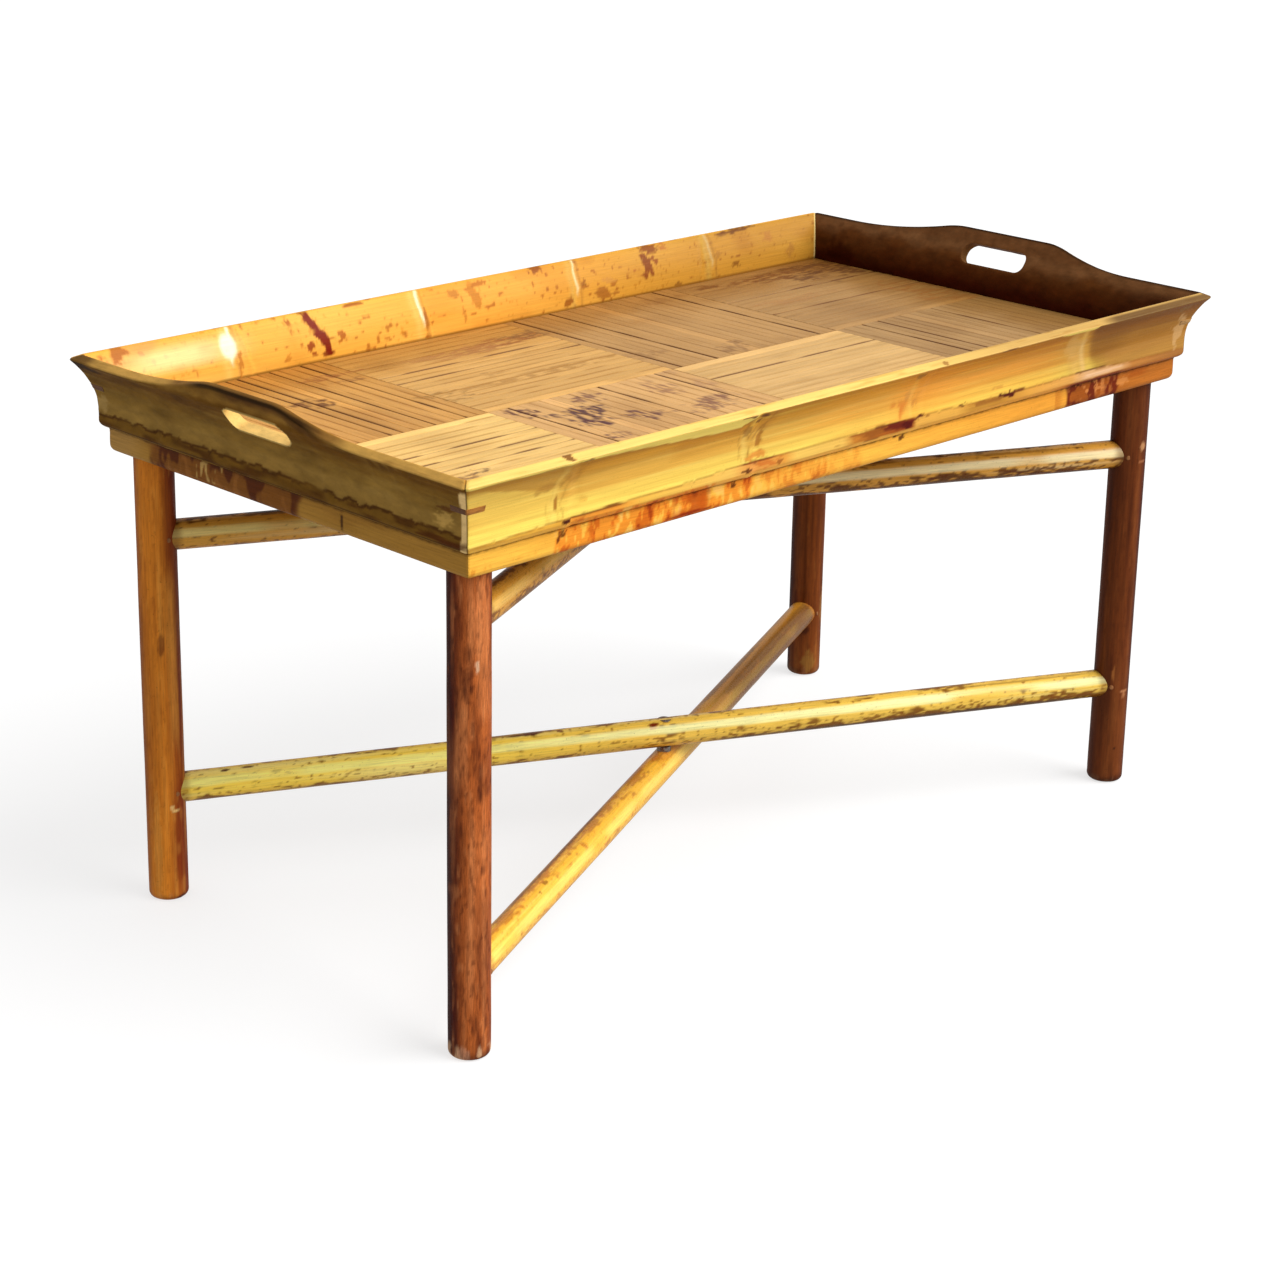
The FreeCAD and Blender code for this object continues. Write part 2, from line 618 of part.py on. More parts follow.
# Pegs: hardwood pins driven crosswise through leg and tenon, cut just under the leg's surface
def make_pegs(label, lower, upper, angle):
    length = f"(2 * sqrt(Sizes.leg_radius ^ 2 - {PEG_OFFSET} ^ 2) - 2 * Sizes.peg_recess)"
    pegs = []
    for height in (lower, upper):
        for side in ("", "-"):
            peg = doc.addObject("Part::Cylinder", f"{label}_peg")
            peg.Placement = FreeCAD.Placement(FreeCAD.Vector(0, 0, 0),
                                              FreeCAD.Rotation(VERTICAL, ALONG_Y))
            bind(peg, Radius="Sizes.peg_radius", Height=length,
                 Placement__Base__x=f"{side}({HALF_DIAGONAL} - {PEG_OFFSET})",
                 Placement__Base__y=f"-{length} / 2", Placement__Base__z=height)
            pegs.append(peg)
    group = keep(doc.addObject("Part::Compound", label), label)
    group.Links = pegs
    turn_piece(group, angle)


FRONT_LEFT_TO_BACK_RIGHT = DIAGONAL_ANGLE
BACK_LEFT_TO_FRONT_RIGHT = f"-({DIAGONAL_ANGLE})"
OUTER = ("Sizes.lower_rod_lift", "(Sizes.stand_height - Sizes.upper_rod_drop)")
INNER = (f"({OUTER[0]} + {ROD_STEP})", f"({OUTER[1]} - {ROD_STEP})")
make_leg("front_left_leg", *OUTER, f"-{LEG_X}", f"-{LEG_Y}", FRONT_LEFT_TO_BACK_RIGHT)
make_leg("back_right_leg", *OUTER, LEG_X, LEG_Y, f"{HALF_TURN} + {FRONT_LEFT_TO_BACK_RIGHT}")
make_leg("back_left_leg", *INNER, f"-{LEG_X}", LEG_Y, BACK_LEFT_TO_FRONT_RIGHT)
make_leg("front_right_leg", *INNER, LEG_X, f"-{LEG_Y}", f"{HALF_TURN} - {DIAGONAL_ANGLE}")
make_rod("outer_lower_rod", OUTER[0], FRONT_LEFT_TO_BACK_RIGHT, "Sizes.nut_recess", False)
make_rod("outer_upper_rod", OUTER[1], FRONT_LEFT_TO_BACK_RIGHT, "Sizes.bolt_head_recess", True)
make_rod("inner_lower_rod", INNER[0], BACK_LEFT_TO_FRONT_RIGHT, "Sizes.bolt_head_recess", True)
make_rod("inner_upper_rod", INNER[1], BACK_LEFT_TO_FRONT_RIGHT, "Sizes.nut_recess", False)
make_pegs("outer_frame_pegs", *OUTER, FRONT_LEFT_TO_BACK_RIGHT)
make_pegs("inner_frame_pegs", *INNER, BACK_LEFT_TO_FRONT_RIGHT)


# Pivots: at each crossing a bolt, a washer between the rods and a nut. They stay with the outer frame,
# so a running gap is left wherever they meet the inner frame's rod.
def make_pivot(name, lower_rod, upper_rod, gap_below, gap_above):
    nut_floor = f"({lower_rod} - Sizes.rod_radius + Sizes.nut_recess - {gap_below})"
    head_floor = f"({upper_rod} + Sizes.rod_radius - Sizes.bolt_head_recess + {gap_above})"
    washer_floor = f"({lower_rod} + Sizes.rod_radius - Sizes.washer_seat + {gap_below})"
    washer_top = f"({upper_rod} - Sizes.rod_radius + Sizes.washer_seat - {gap_above})"
    shank_floor = f"({nut_floor} - Sizes.nut_thickness)"

    def cylinder(part_name, radius, floor, height):
        piece = doc.addObject("Part::Cylinder", part_name)
        bind(piece, Radius=radius, Height=height, Placement__Base__z=floor)
        return piece

    def ring(label, blank, floor, height):
        bore = cylinder(f"{label}_bore", "Sizes.bolt_radius + Sizes.bolt_fit",
                        f"{floor} - Sizes.overrun", f"{height} + 2 * Sizes.overrun")
        piece = keep(doc.addObject("Part::Cut", label), label)
        piece.Base = blank
        piece.Tool = bore

    shank = cylinder(f"{name}_shank", "Sizes.bolt_radius", shank_floor, f"{head_floor} - {shank_floor}")
    head = cylinder(f"{name}_head", "Sizes.bolt_head_radius", head_floor, "Sizes.bolt_head_thickness")
    bolt = keep(doc.addObject("Part::Fuse", f"{name}_bolt"), f"{name}_bolt")
    bolt.Base = shank
    bolt.Tool = head
    disc = cylinder(f"{name}_washer_disc", "Sizes.washer_radius", washer_floor,
                    f"{washer_top} - {washer_floor}")
    ring(f"{name}_washer", disc, washer_floor, f"({washer_top} - {washer_floor})")
    hexagon = doc.addObject("Part::Prism", f"{name}_nut_hexagon")
    bind(hexagon, Polygon="Sizes.nut_sides", Circumradius="Sizes.nut_corner_radius",
         Height="Sizes.nut_thickness", Placement__Base__z=shank_floor)
    ring(f"{name}_nut", hexagon, shank_floor, "Sizes.nut_thickness")


make_pivot("lower_pivot", OUTER[0], INNER[0], "0", "Sizes.running_gap")
make_pivot("upper_pivot", INNER[1], OUTER[1], "Sizes.running_gap", "0")

doc.recompute()
for item in doc.Objects:
    if "Invalid" in item.State or "Error" in item.State:
        raise RuntimeError(f"{item.Label} failed: {item.State}")
for piece in finished:
    if piece.Shape.isNull() or not piece.Shape.isValid() or not piece.Shape.Solids:
        raise RuntimeError(f"{piece.Label} has no valid solid")

os.makedirs("parts", exist_ok=True)
for piece in finished:
    piece.Shape.exportStep(f"parts/{piece.Label}.step")
    box = piece.Shape.BoundBox
    print(f"{piece.Label}: {len(piece.Shape.Solids)} solids, "
          f"{box.XLength:.1f} x {box.YLength:.1f} x {box.ZLength:.1f}, "
          f"volume {piece.Shape.Volume:.0f}")
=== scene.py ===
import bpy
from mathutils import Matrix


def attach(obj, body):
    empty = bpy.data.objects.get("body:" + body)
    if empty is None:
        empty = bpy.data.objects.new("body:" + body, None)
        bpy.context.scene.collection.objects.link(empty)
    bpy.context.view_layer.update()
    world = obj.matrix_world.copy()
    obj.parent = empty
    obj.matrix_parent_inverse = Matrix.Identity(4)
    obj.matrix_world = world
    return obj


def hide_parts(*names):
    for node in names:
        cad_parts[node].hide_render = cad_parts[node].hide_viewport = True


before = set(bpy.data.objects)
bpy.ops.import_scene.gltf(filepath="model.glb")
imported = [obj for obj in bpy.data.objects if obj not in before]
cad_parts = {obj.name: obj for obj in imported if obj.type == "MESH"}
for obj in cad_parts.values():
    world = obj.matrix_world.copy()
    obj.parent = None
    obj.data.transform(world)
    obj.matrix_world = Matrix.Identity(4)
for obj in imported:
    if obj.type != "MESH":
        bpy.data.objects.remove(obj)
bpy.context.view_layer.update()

import math

import bpy
import numpy as np
from mathutils import Matrix, Vector

# Bamboo tray table, built up from the floor: legs, rods, pegs and pivots of the folding stand,
# then the tray's skirt, sides, keys, floor panel and slats. Metres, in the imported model's frame.


# Legs: four round poles of a red-brown wood, turned by eye and so a little uneven, and lacquered.
# The feet are rounded over and scuffed pale, the tops stop just under the corners of the tray's skirt.

LEG_RADIUS = 0.01725
LEG_HEIGHT = 0.398
LEG_TOP = LEG_HEIGHT - 0.0004
LEG_INSET = 0.00035
LEG_X = 0.409
LEG_Y = 0.196
HALF_DIAGONAL = math.hypot(LEG_X, LEG_Y)
SHARP_EDGE = math.radians(38)


def tone(red, green, blue):
    """A colour as seen on the piece, 0 to 255, as the linear value that a material takes."""
    seen = np.array([red, green, blue]) / 255
    return np.where(seen > 0.04045, ((seen + 0.055) / 1.055) ** 2.4, seen / 12.92)


def waver(points, pace, seed):
    """Smooth chance values from -1 to 1; pace is the length over which they change, per direction."""
    spots = np.asarray(points, float) / np.asarray(pace, float)
    cell = np.floor(spots).astype(np.int64)
    part = spots - cell
    part = part * part * (3 - 2 * part)
    total = np.zeros(len(spots))
    for corner in np.ndindex(2, 2, 2):
        near = cell + corner
        mixed = near[:, 0] * 73856093 ^ near[:, 1] * 19349663 ^ near[:, 2] * 83492791
        mixed = mixed ^ (seed + 7) * 26544357
        mixed = (mixed ^ (mixed >> 13)) * 1274126177 & 0x7FFFFFFF
        mixed = (mixed ^ (mixed >> 15)) & 0xFFFFF
        share = np.prod(np.where(corner, part, 1 - part), axis=1)
        total += share * (mixed / 0xFFFFF * 2 - 1)
    return total


def fade(values, start, full):
    """0 before start, 1 after full, smooth between; start may be the larger."""
    share = np.clip((values - start) / (full - start), 0, 1)
    return share * share * (3 - 2 * share)


def brush(colours, colour, mask):
    """Lays a colour over the colours of a piece's points, as strongly as the mask says."""
    return colours + (colour - colours) * np.clip(mask, 0, 1)[:, None]


class Coat:
    """The tones of a piece's points, painted one over the other; spot says where each point lies."""

    def __init__(self, spot, colour):
        self.spot = spot
        self.tones = np.tile(tone(*colour), (len(spot), 1))

    def lay(self, colour, mask, bright=1.0):
        """Lays a colour, made brighter or darker, over the points as strongly as the mask says."""
        self.tones = brush(self.tones, tone(*colour) * bright, mask)

    def tint(self, factors, mask):
        """Multiplies the tones' red, green and blue, as strongly as the mask says."""
        self.tones = brush(self.tones, self.tones * factors, mask)

    def patch(self, pace, seed, start, full):
        """Share of irregular patches of about the size of pace, from none at start to full."""
        return fade(waver(self.spot, pace, seed), start, full)


def piece_of(name, points, faces, body, stands_for):
    """A new piece of the table from its points and faces, riding on its body, in place of CAD nodes."""
    mesh = bpy.data.meshes.new(name)
    mesh.from_pydata(points.tolist(), [], faces)
    mesh.validate()
    piece = bpy.data.objects.new(name, mesh)
    bpy.context.scene.collection.objects.link(piece)
    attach(piece, body)
    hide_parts(*stands_for)
    return piece


def points_of(piece):
    """Where a piece's points lie."""
    found = np.zeros(len(piece.data.vertices) * 3)
    piece.data.vertices.foreach_get("co", found)
    return found.reshape(-1, 3)


def wear(piece, material):
    """Puts one material all over a piece."""
    piece.data.materials.clear()
    piece.data.materials.append(material)


def dress(piece, grain_place, colours, material):
    """Gives a piece its painted colours, the direction of its grain and its material."""
    mesh = piece.data
    painted = mesh.color_attributes.new(name="tone", type="FLOAT_COLOR", domain="POINT")
    painted.data.foreach_set("color", np.c_[np.clip(colours, 0, 1), np.ones(len(colours))].ravel())
    grain = mesh.attributes.new(name="grain", type="FLOAT_VECTOR", domain="POINT")
    grain.data.foreach_set("vector", np.asarray(grain_place, float).ravel())
    wear(piece, material)
    mesh.shade_smooth()
    mesh.set_sharp_from_angle(angle=SHARP_EDGE)


def tube_faces(rings, around):
    """Faces of a closed tube of rings, with both ends closed."""
    faces = []
    for ring in range(rings - 1):
        low = ring * around
        for place in range(around):
            after = (place + 1) % around
            faces.append((low + place, low + after, low + around + after, low + around + place))
    faces.append(tuple(range(around - 1, -1, -1)))
    faces.append(tuple(range((rings - 1) * around, rings * around)))
    return faces


def join(tree, node, **sockets):
    """Sets sockets of a shader node; a pair of node and output name is joined, a number is set."""
    for name, value in sockets.items():
        socket = node.inputs[name.replace("_", " ")]
        if isinstance(value, tuple) and isinstance(value[0], bpy.types.Node):
            tree.links.new(value[0].outputs[value[1]], socket)
        else:
            socket.default_value = value
    return node


def add(tree, kind, **sockets):
    """A new shader node of a kind, with its sockets set."""
    return join(tree, tree.nodes.new(f"ShaderNode{kind}"), **sockets)


def grained(name, streaks, fleck, rough, coat, ridge, shine=0.15, wavy=0.0):
    """A painted, grained and varnished surface: the points' own colours, streaked along the grain.

    streaks is (length, width, lowest, highest) of the streaks in metres and in brightness; fleck is
    (size, darkness) of fine specks; rough is the least and most roughness; ridge is the bump's height;
    shine is the strength of its reflections; wavy is how much the streaks wander."""
    material = bpy.data.materials.new(name)
    material.use_nodes = True
    tree = material.node_tree
    painted = add(tree, "Attribute")
    painted.attribute_name = "tone"
    place = add(tree, "Attribute")
    place.attribute_name = "grain"
    length, width, low, high = streaks
    stretch = add(tree, "Mapping", Vector=(place, "Vector"), Scale=(1 / length, 1 / width, 1 / width))
    fibre = add(tree, "TexNoise", Vector=(stretch, "Vector"), Scale=1.0, Detail=6.0, Roughness=0.62,
                Distortion=wavy)
    shade = add(tree, "MapRange", Value=(fibre, "Fac"), From_Min=0.3, From_Max=0.7, To_Min=low,
                To_Max=high)
    streaked = add(tree, "VectorMath")
    streaked.operation = "SCALE"
    join(tree, streaked, Vector=(painted, "Color"), Scale=(shade, "Result"))
    size, darkness = fleck
    speck = add(tree, "TexNoise", Vector=(place, "Vector"), Scale=1 / size, Detail=3.0, Roughness=0.7)
    speck_share = add(tree, "MapRange", Value=(speck, "Fac"), From_Min=0.62, From_Max=0.72, To_Min=1.0,
                      To_Max=1.0 - darkness)
    flecked = add(tree, "VectorMath")
    flecked.operation = "SCALE"
    join(tree, flecked, Vector=(streaked, "Vector"), Scale=(speck_share, "Result"))
    gloss = add(tree, "MapRange", Value=(speck, "Fac"), From_Min=0.3, From_Max=0.7, To_Min=rough[0],
                To_Max=rough[1])
    bump = add(tree, "Bump", Height=(fibre, "Fac"), Distance=ridge, Strength=0.5)
    join(tree, tree.nodes["Principled BSDF"], Base_Color=(flecked, "Vector"), Roughness=(gloss, "Result"),
         Normal=(bump, "Normal"), Specular_IOR_Level=shine, Coat_Weight=coat, Coat_Roughness=0.25)
    return material


LEG_TURNS = np.linspace(0, 2 * math.pi, 84, endpoint=False)
FOOT_ROUND = 0.005
TOP_ROUND = 0.0015
leg_wood = grained("leg_wood", streaks=(0.011, 0.0011, 0.66, 1.36), fleck=(0.0016, 0.35),
                   rough=(0.4, 0.62), coat=0.03, ridge=0.0009, shine=0.08, wavy=0.6)
smooth_leg_wood = grained("smooth_leg_wood", streaks=(0.03, 0.0014, 0.82, 1.2), fleck=(0.0025, 0.3),
                          rough=(0.38, 0.55), coat=0.03, ridge=0.0004, shine=0.08)
LEG_TONES = {
    # outward side, light streak, dark streak, tone of the painted shade on one side and the direction that
    # side faces in degrees
    "front_left_leg": ((178, 92, 40), (218, 134, 78), (84, 30, 10), (84, 22, 6), 158),
    "back_left_leg": ((222, 132, 38), (246, 168, 70), (146, 70, 18), (132, 50, 12), 300),
    "front_right_leg": ((112, 54, 20), (138, 76, 34), (64, 24, 8), (74, 26, 8), 318),
    "back_right_leg": ((122, 60, 18), (166, 100, 42), (66, 24, 6), (76, 24, 6), 130),
}


def leg_profile():
    """Radius and height of a leg's outline, from the flat of the foot to the flat of the top."""
    quarter = np.linspace(0, math.pi / 2, 9)
    foot = [(LEG_RADIUS - FOOT_ROUND + FOOT_ROUND * math.sin(turn),
             FOOT_ROUND - FOOT_ROUND * math.cos(turn)) for turn in quarter]
    shaft = [(LEG_RADIUS, height) for height in np.linspace(FOOT_ROUND, LEG_TOP - TOP_ROUND, 190)[1:-1]]
    top = [(LEG_RADIUS - TOP_ROUND + TOP_ROUND * math.cos(turn),
            LEG_TOP - TOP_ROUND + TOP_ROUND * math.sin(turn)) for turn in quarter]
    return np.array(foot + shaft + top)


def make_leg(name, x, y, body, seed):
    """One pole: uneven and chipped at the foot, its tone streaked along it, with painted shade on one side.
    """
    profile = leg_profile()
    rings = len(profile)
    radius = np.repeat(profile[:, 0], len(LEG_TURNS))
    height = np.repeat(profile[:, 1], len(LEG_TURNS))
    turn = np.tile(LEG_TURNS, rings)
    spot = np.c_[np.cos(turn) * LEG_RADIUS, np.sin(turn) * LEG_RADIUS, height]
    uneven = 0.00028 * waver(spot, (0.02, 0.02, 0.11), seed)
    uneven = uneven + 0.0001 * waver(spot, (0.006, 0.006, 0.03), seed)
    chips = fade(waver(spot, (0.005, 0.005, 0.009), seed + 3), 0.62, 0.9) * 0.0004
    chips = chips * fade(height, 0.05, 0.0)
    radius = radius + uneven - LEG_INSET - chips
    points = np.c_[x + radius * np.cos(turn), y + radius * np.sin(turn), height]
    faces = tube_faces(rings, len(LEG_TURNS))
    piece = piece_of(f"{name}_pole", points, faces, body, [name])
    base, light, dark, shade_tone, shade_side = LEG_TONES[name]
    rugged = 1.0 if name == "front_left_leg" else 0.45
    coat = Coat(spot, base)
    # painted shade on the leg's side named in LEG_TONES
    away = turn - math.radians(shade_side)
    coat.lay(shade_tone, fade(np.cos(away) + 0.15 * waver(spot, (0.01, 0.01, 0.04), seed), 0.45, 1.0))
    strand = waver(spot, (0.0045, 0.0045, 0.09), seed + 1)
    coat.lay(light, fade(strand, 0.1, 0.8) * 0.5)
    coat.lay(dark, fade(strand, -0.1, -0.8) * 0.6)
    wander = spot + [0.0012, 0.0012, 0] * waver(spot, (0.01, 0.01, 0.01), seed + 8)[:, None]
    stroke = waver(wander, (0.0028, 0.0028, 0.016), seed + 7)
    coat.lay(light, fade(stroke, 0.3, 0.85) * 0.45 * rugged)
    coat.lay(dark, fade(stroke, -0.25, -0.8) * 0.55 * rugged)
    fleck = waver(wander, (0.0013, 0.0013, 0.007), seed + 5)
    coat.lay(dark, fade(fleck, 0.25, 0.7) * 0.55 * rugged)
    cloud = waver(spot, (0.02, 0.02, 0.06), seed + 2)
    coat.lay(dark, fade(cloud, 0.15, 0.9) * 0.4)
    coat.lay(light, fade(cloud, -0.3, -0.9) * 0.3)
    # painted shade on the side facing 135 degrees, and on the edge facing 315 degrees
    shaded = fade(np.cos(turn - math.radians(135)), 0.5, 0.9)
    coat.tint((0.42, 0.34, 0.3), shaded * (0.9 if rugged == 1.0 else 0.7))
    coat.tint((0.6, 0.5, 0.45), fade(np.cos(turn + math.radians(45)), 0.82, 0.97) * 0.6)
    rim = fade(height, 0.011, 0.004) * coat.patch((0.012, 0.012, 0.008), seed + 9, -0.7, 0.1)
    coat.lay(dark, rim * 0.6, 0.6)
    scuff = fade(waver(spot, (0.004, 0.004, 0.006), seed + 4) + fade(height, 0.02, 0.0) * 0.9, 0.75, 1.15)
    coat.lay((214, 166, 124), scuff * (1.2 * rugged - 0.45) * fade(height, 0.03, 0.004))
    for scar_x, scar_y, scar_height, size, tall, colour, weight in LEG_SCARS.get(name, []):
        aim = math.atan2(scar_y, scar_x)
        aside = np.angle(np.exp(1j * (turn - aim))) * LEG_RADIUS
        far = np.hypot(aside / size, (height - scar_height) / tall)
        ragged = far + 0.35 * waver(spot, (0.002, 0.002, 0.003), seed + 6)
        coat.lay(colour, fade(ragged, 1.15, 0.7) * weight)
    grain = np.c_[height, spot[:, 0] + seed, spot[:, 1]]
    dress(piece, grain, coat.tones, leg_wood if rugged == 1.0 else smooth_leg_wood)


# Scars on the legs: direction (x, y), height, half width, half height, colour, strength
LEG_SCARS = {
    "front_left_leg": [
        (-0.35, -1.0, 0.325, 0.002, 0.005, (226, 178, 140), 0.9),
        (0.75, -0.7, 0.372, 0.0025, 0.004, (50, 18, 10), 0.85),
        (0.9, -0.6, 0.384, 0.003, 0.003, (222, 178, 132), 0.7),
        (0.95, -0.35, 0.055, 0.0035, 0.04, (206, 150, 116), 0.75),
        (0.8, -0.6, 0.005, 0.005, 0.006, (226, 182, 146), 0.8),
        (-0.2, -1.0, 0.23, 0.002, 0.02, (60, 22, 12), 0.5),
        (-0.75, -0.7, 0.31, 0.005, 0.014, (74, 26, 12), 0.5),
        (-0.85, -0.5, 0.005, 0.006, 0.008, (206, 150, 116), 0.5),
    ],
    "front_right_leg": [
        (-0.05, -1.0, 0.336, 0.0035, 0.004, (206, 150, 100), 0.75),
        (-0.05, -1.0, 0.322, 0.0045, 0.0015, (184, 120, 78), 0.6),
        (-0.1, -1.0, 0.094, 0.005, 0.0012, (206, 140, 92), 0.65),
        (-0.1, -1.0, 0.090, 0.003, 0.0025, (190, 126, 80), 0.6),
        (-0.75, -0.66, 0.113, 0.0012, 0.008, (190, 116, 56), 0.6),
        (-0.45, -0.9, 0.036, 0.0015, 0.001, (44, 16, 8), 0.8),
    ],
    "back_left_leg": [
        (-0.1, -1.0, 0.083, 0.0045, 0.0012, (244, 206, 130), 0.85),
        (-0.3, -1.0, 0.087, 0.002, 0.002, (244, 206, 130), 0.7),
        (-0.55, -0.85, 0.235, 0.003, 0.01, (110, 48, 16), 0.6),
        (-0.9, -0.45, 0.05, 0.004, 0.05, (224, 150, 62), 0.5),
        (0.1, -1.0, 0.002, 0.006, 0.003, (74, 24, 16), 0.8),
    ],
    "back_right_leg": [
        (-0.5, -0.85, 0.016, 0.008, 0.012, (150, 104, 44), 0.7),
        (0.5, -0.85, 0.075, 0.006, 0.02, (150, 98, 40), 0.7),
        (-0.8, -0.6, 0.06, 0.008, 0.016, (52, 16, 6), 0.7),
    ],
}
make_leg("front_left_leg", -LEG_X, -LEG_Y, "outer_frame", 11)
make_leg("back_right_leg", LEG_X, LEG_Y, "outer_frame", 23)
make_leg("back_left_leg", -LEG_X, LEG_Y, "inner_frame", 37)
make_leg("front_right_leg", LEG_X, -LEG_Y, "inner_frame", 41)


# Rods: round bamboo rods, two to each frame, coped to lie against the legs and tenoned into them.
# A flush plug covers the pivot in each; the skin is yellow, glossy with a painted highlight stripe, and
# speckled, darker near the legs.

ROD_RADIUS = 0.0135
ROD_TURNS = np.linspace(0, 2 * math.pi, 64, endpoint=False)
ROD_STEPS = 460
ROD_INSET = 0.0003
COPE_LAP = 0.0006
PLUG_RADIUS = 0.0066
PLUG_EDGE = 0.0002
PLUG_SUNK = 0.0001
OUTER_ROD_HEIGHTS = (0.0685, 0.356)
INNER_ROD_HEIGHTS = (0.0985, 0.326)
FORWARD = math.atan2(LEG_Y, LEG_X)
rod_skin = grained("rod_skin", streaks=(0.03, 0.0012, 0.82, 1.16), fleck=(0.0018, 0.4), rough=(0.2, 0.4),
                   coat=0.15, ridge=0.0003, shine=0.12)
ROD_TONES = {
    # skin, painted highlight stripe, dark mottling, how much mottling, tone of the end towards the back leg
    # with painted shade and light
    "inner_lower_rod": ((248, 202, 84), (255, 250, 172), (124, 70, 12), 1.0, (255, 216, 82)),
    "outer_lower_rod": ((246, 186, 62), (255, 216, 104), (190, 116, 40), 0.85, (122, 78, 30)),
    "outer_upper_rod": ((214, 150, 54), (240, 190, 96), (110, 60, 18), 0.9, (206, 150, 62)),
    "inner_upper_rod": ((222, 158, 62), (255, 234, 176), (92, 46, 10), 1.0, (226, 164, 62)),
}


def cut_out(piece, cutter):
    """Takes the cutter's solid out of the piece's mesh."""
    cut = piece.modifiers.new("cut", "BOOLEAN")
    cut.operation = "DIFFERENCE"
    cut.solver = "EXACT"
    cut.object = cutter
    worked = bpy.data.meshes.new_from_object(piece.evaluated_get(bpy.context.evaluated_depsgraph_get()))
    piece.modifiers.remove(cut)
    piece.data = worked
    bpy.data.objects.remove(cutter)


def bell(off, width):
    """A smooth bump, 1 where off is 0, about as wide as width to each side."""
    return np.exp(-(off / width) ** 2)


def make_rod(name, body, height, angle, plug_on_top, seed):
    """One rod from leg to leg, at an angle to the table's length, its ends coped round the legs."""
    share = np.repeat(np.linspace(-1, 1, ROD_STEPS), len(ROD_TURNS))
    turn = np.tile(ROD_TURNS, ROD_STEPS)
    plug_side = 1 if plug_on_top else -1
    lateral = np.cos(turn)
    rise = np.sin(turn)
    spot = np.c_[share * HALF_DIAGONAL, lateral * ROD_RADIUS, rise * ROD_RADIUS]
    uneven = 0.00025 * waver(spot, (0.09, 0.012, 0.012), seed)
    uneven = uneven + 0.00008 * waver(spot, (0.02, 0.004, 0.004), seed)
    radius = ROD_RADIUS - ROD_INSET + uneven
    reach = HALF_DIAGONAL - np.sqrt(LEG_RADIUS ** 2 - (lateral * radius) ** 2) + COPE_LAP
    local = np.c_[share * reach, -lateral * radius, rise * radius]
    from_middle = np.hypot(local[:, 0], local[:, 1])
    on_plug = fade(from_middle, PLUG_RADIUS + PLUG_EDGE, PLUG_RADIUS - PLUG_EDGE) * (rise * plug_side > 0)
    local[:, 2] -= PLUG_SUNK * on_plug * plug_side
    base, light, dark, mottling, back_end_painted_light = ROD_TONES[name]
    along = local[:, 0]
    # painted light and shade at the back end: the tray's shadow on the outer lower rod, a lighter end on
    # the inner lower rod
    towards_back = fade(along * BACK_END[name], -0.02, 0.22)
    coat = Coat(local, base)
    coat.lay(back_end_painted_light, towards_back)
    streak = waver(local, (0.12, 0.004, 0.004), seed + 1)
    shaded_back = name == "outer_lower_rod"
    coat.lay(light, fade(streak, 0.0, 0.8) * 0.55 * (1 - (0.9 if shaded_back else 0.3) * towards_back))
    # painted highlight: a pale stripe along the side of the rod turned to the light
    facing = np.cos(turn - math.radians(HIGHLIGHT_STRIPE[name]))
    ragged_highlight = facing + 0.012 * waver(local, (0.02, 0.003, 0.003), seed + 6)
    highlight_share = fade(ragged_highlight, 0.93, 0.99) * (1 - 0.9 * towards_back * shaded_back)
    highlight_share = highlight_share * fade(waver(local, (0.05, 1, 1), seed + 7), -0.9, 0.0)
    # painted shade on the flanks turned from the highlight, where the mottling is denser too
    shaded_flanks = fade(facing, 0.8, 0.25)
    coat.lay(base, shaded_flanks * 0.6, (0.86, 0.7, 0.45))
    under_rod = fade(np.cos(turn + math.radians(62)), 0.2, 0.8) * fade(along * BACK_END[name], 0.1, -0.35)
    top_rod = fade(np.cos(turn - math.radians(104)), 0.75, 0.95)
    top_rod = top_rod * (0.5 if name == "inner_lower_rod" else 0.9)
    mottle = waver(local, (0.02, 0.005, 0.005), seed + 2)
    mottle = mottle + 0.7 * waver(local, (0.006, 0.0022, 0.0022), seed + 3)
    mottle = mottle + 0.5 * shaded_flanks + 0.6 * under_rod + 0.4 * top_rod
    mottling = mottling * (1 - 0.8 * towards_back * shaded_back)
    coat.lay(dark, fade(mottle, 0.5, 1.0) * mottling * 0.9)
    dapple = waver(local, (0.0035, 0.0016, 0.0016), seed + 4) + 0.3 * shaded_flanks + 0.5 * under_rod
    coat.lay(dark, fade(dapple, 0.5, 0.85) * mottling * 0.85, 1.3)
    coat.lay(light, highlight_share * 0.9, 1 - towards_back[:, None] * (0.0, 0.05, 0.4))
    for scar_along, scar_turn, long, wide, colour, weight in ROD_SCARS.get(name, []):
        aside = np.angle(np.exp(1j * (turn - math.radians(scar_turn)))) * ROD_RADIUS
        far = np.hypot((along - scar_along) / long, aside / wide)
        ragged = far + 0.4 * waver(local, (0.004, 0.002, 0.002), seed + 5)
        coat.lay(colour, fade(ragged, 1.15, 0.65) * weight)
    near_leg = fade(np.abs(along), HALF_DIAGONAL - 0.022, HALF_DIAGONAL - 0.015)
    coat.lay(dark, near_leg * 0.5)
    ring = bell(from_middle - PLUG_RADIUS, 0.0004) * (on_plug + (rise * plug_side > 0))
    coat.lay(dark, ring * 0.35)
    placed = np.c_[local[:, 0] * math.cos(angle) - local[:, 1] * math.sin(angle),
                   local[:, 0] * math.sin(angle) + local[:, 1] * math.cos(angle), local[:, 2] + height]
    faces = tube_faces(ROD_STEPS, len(ROD_TURNS))
    piece = piece_of(f"{name}_round", placed, faces, body, [name])
    dress(piece, local + [seed, 0, 0], coat.tones, rod_skin)


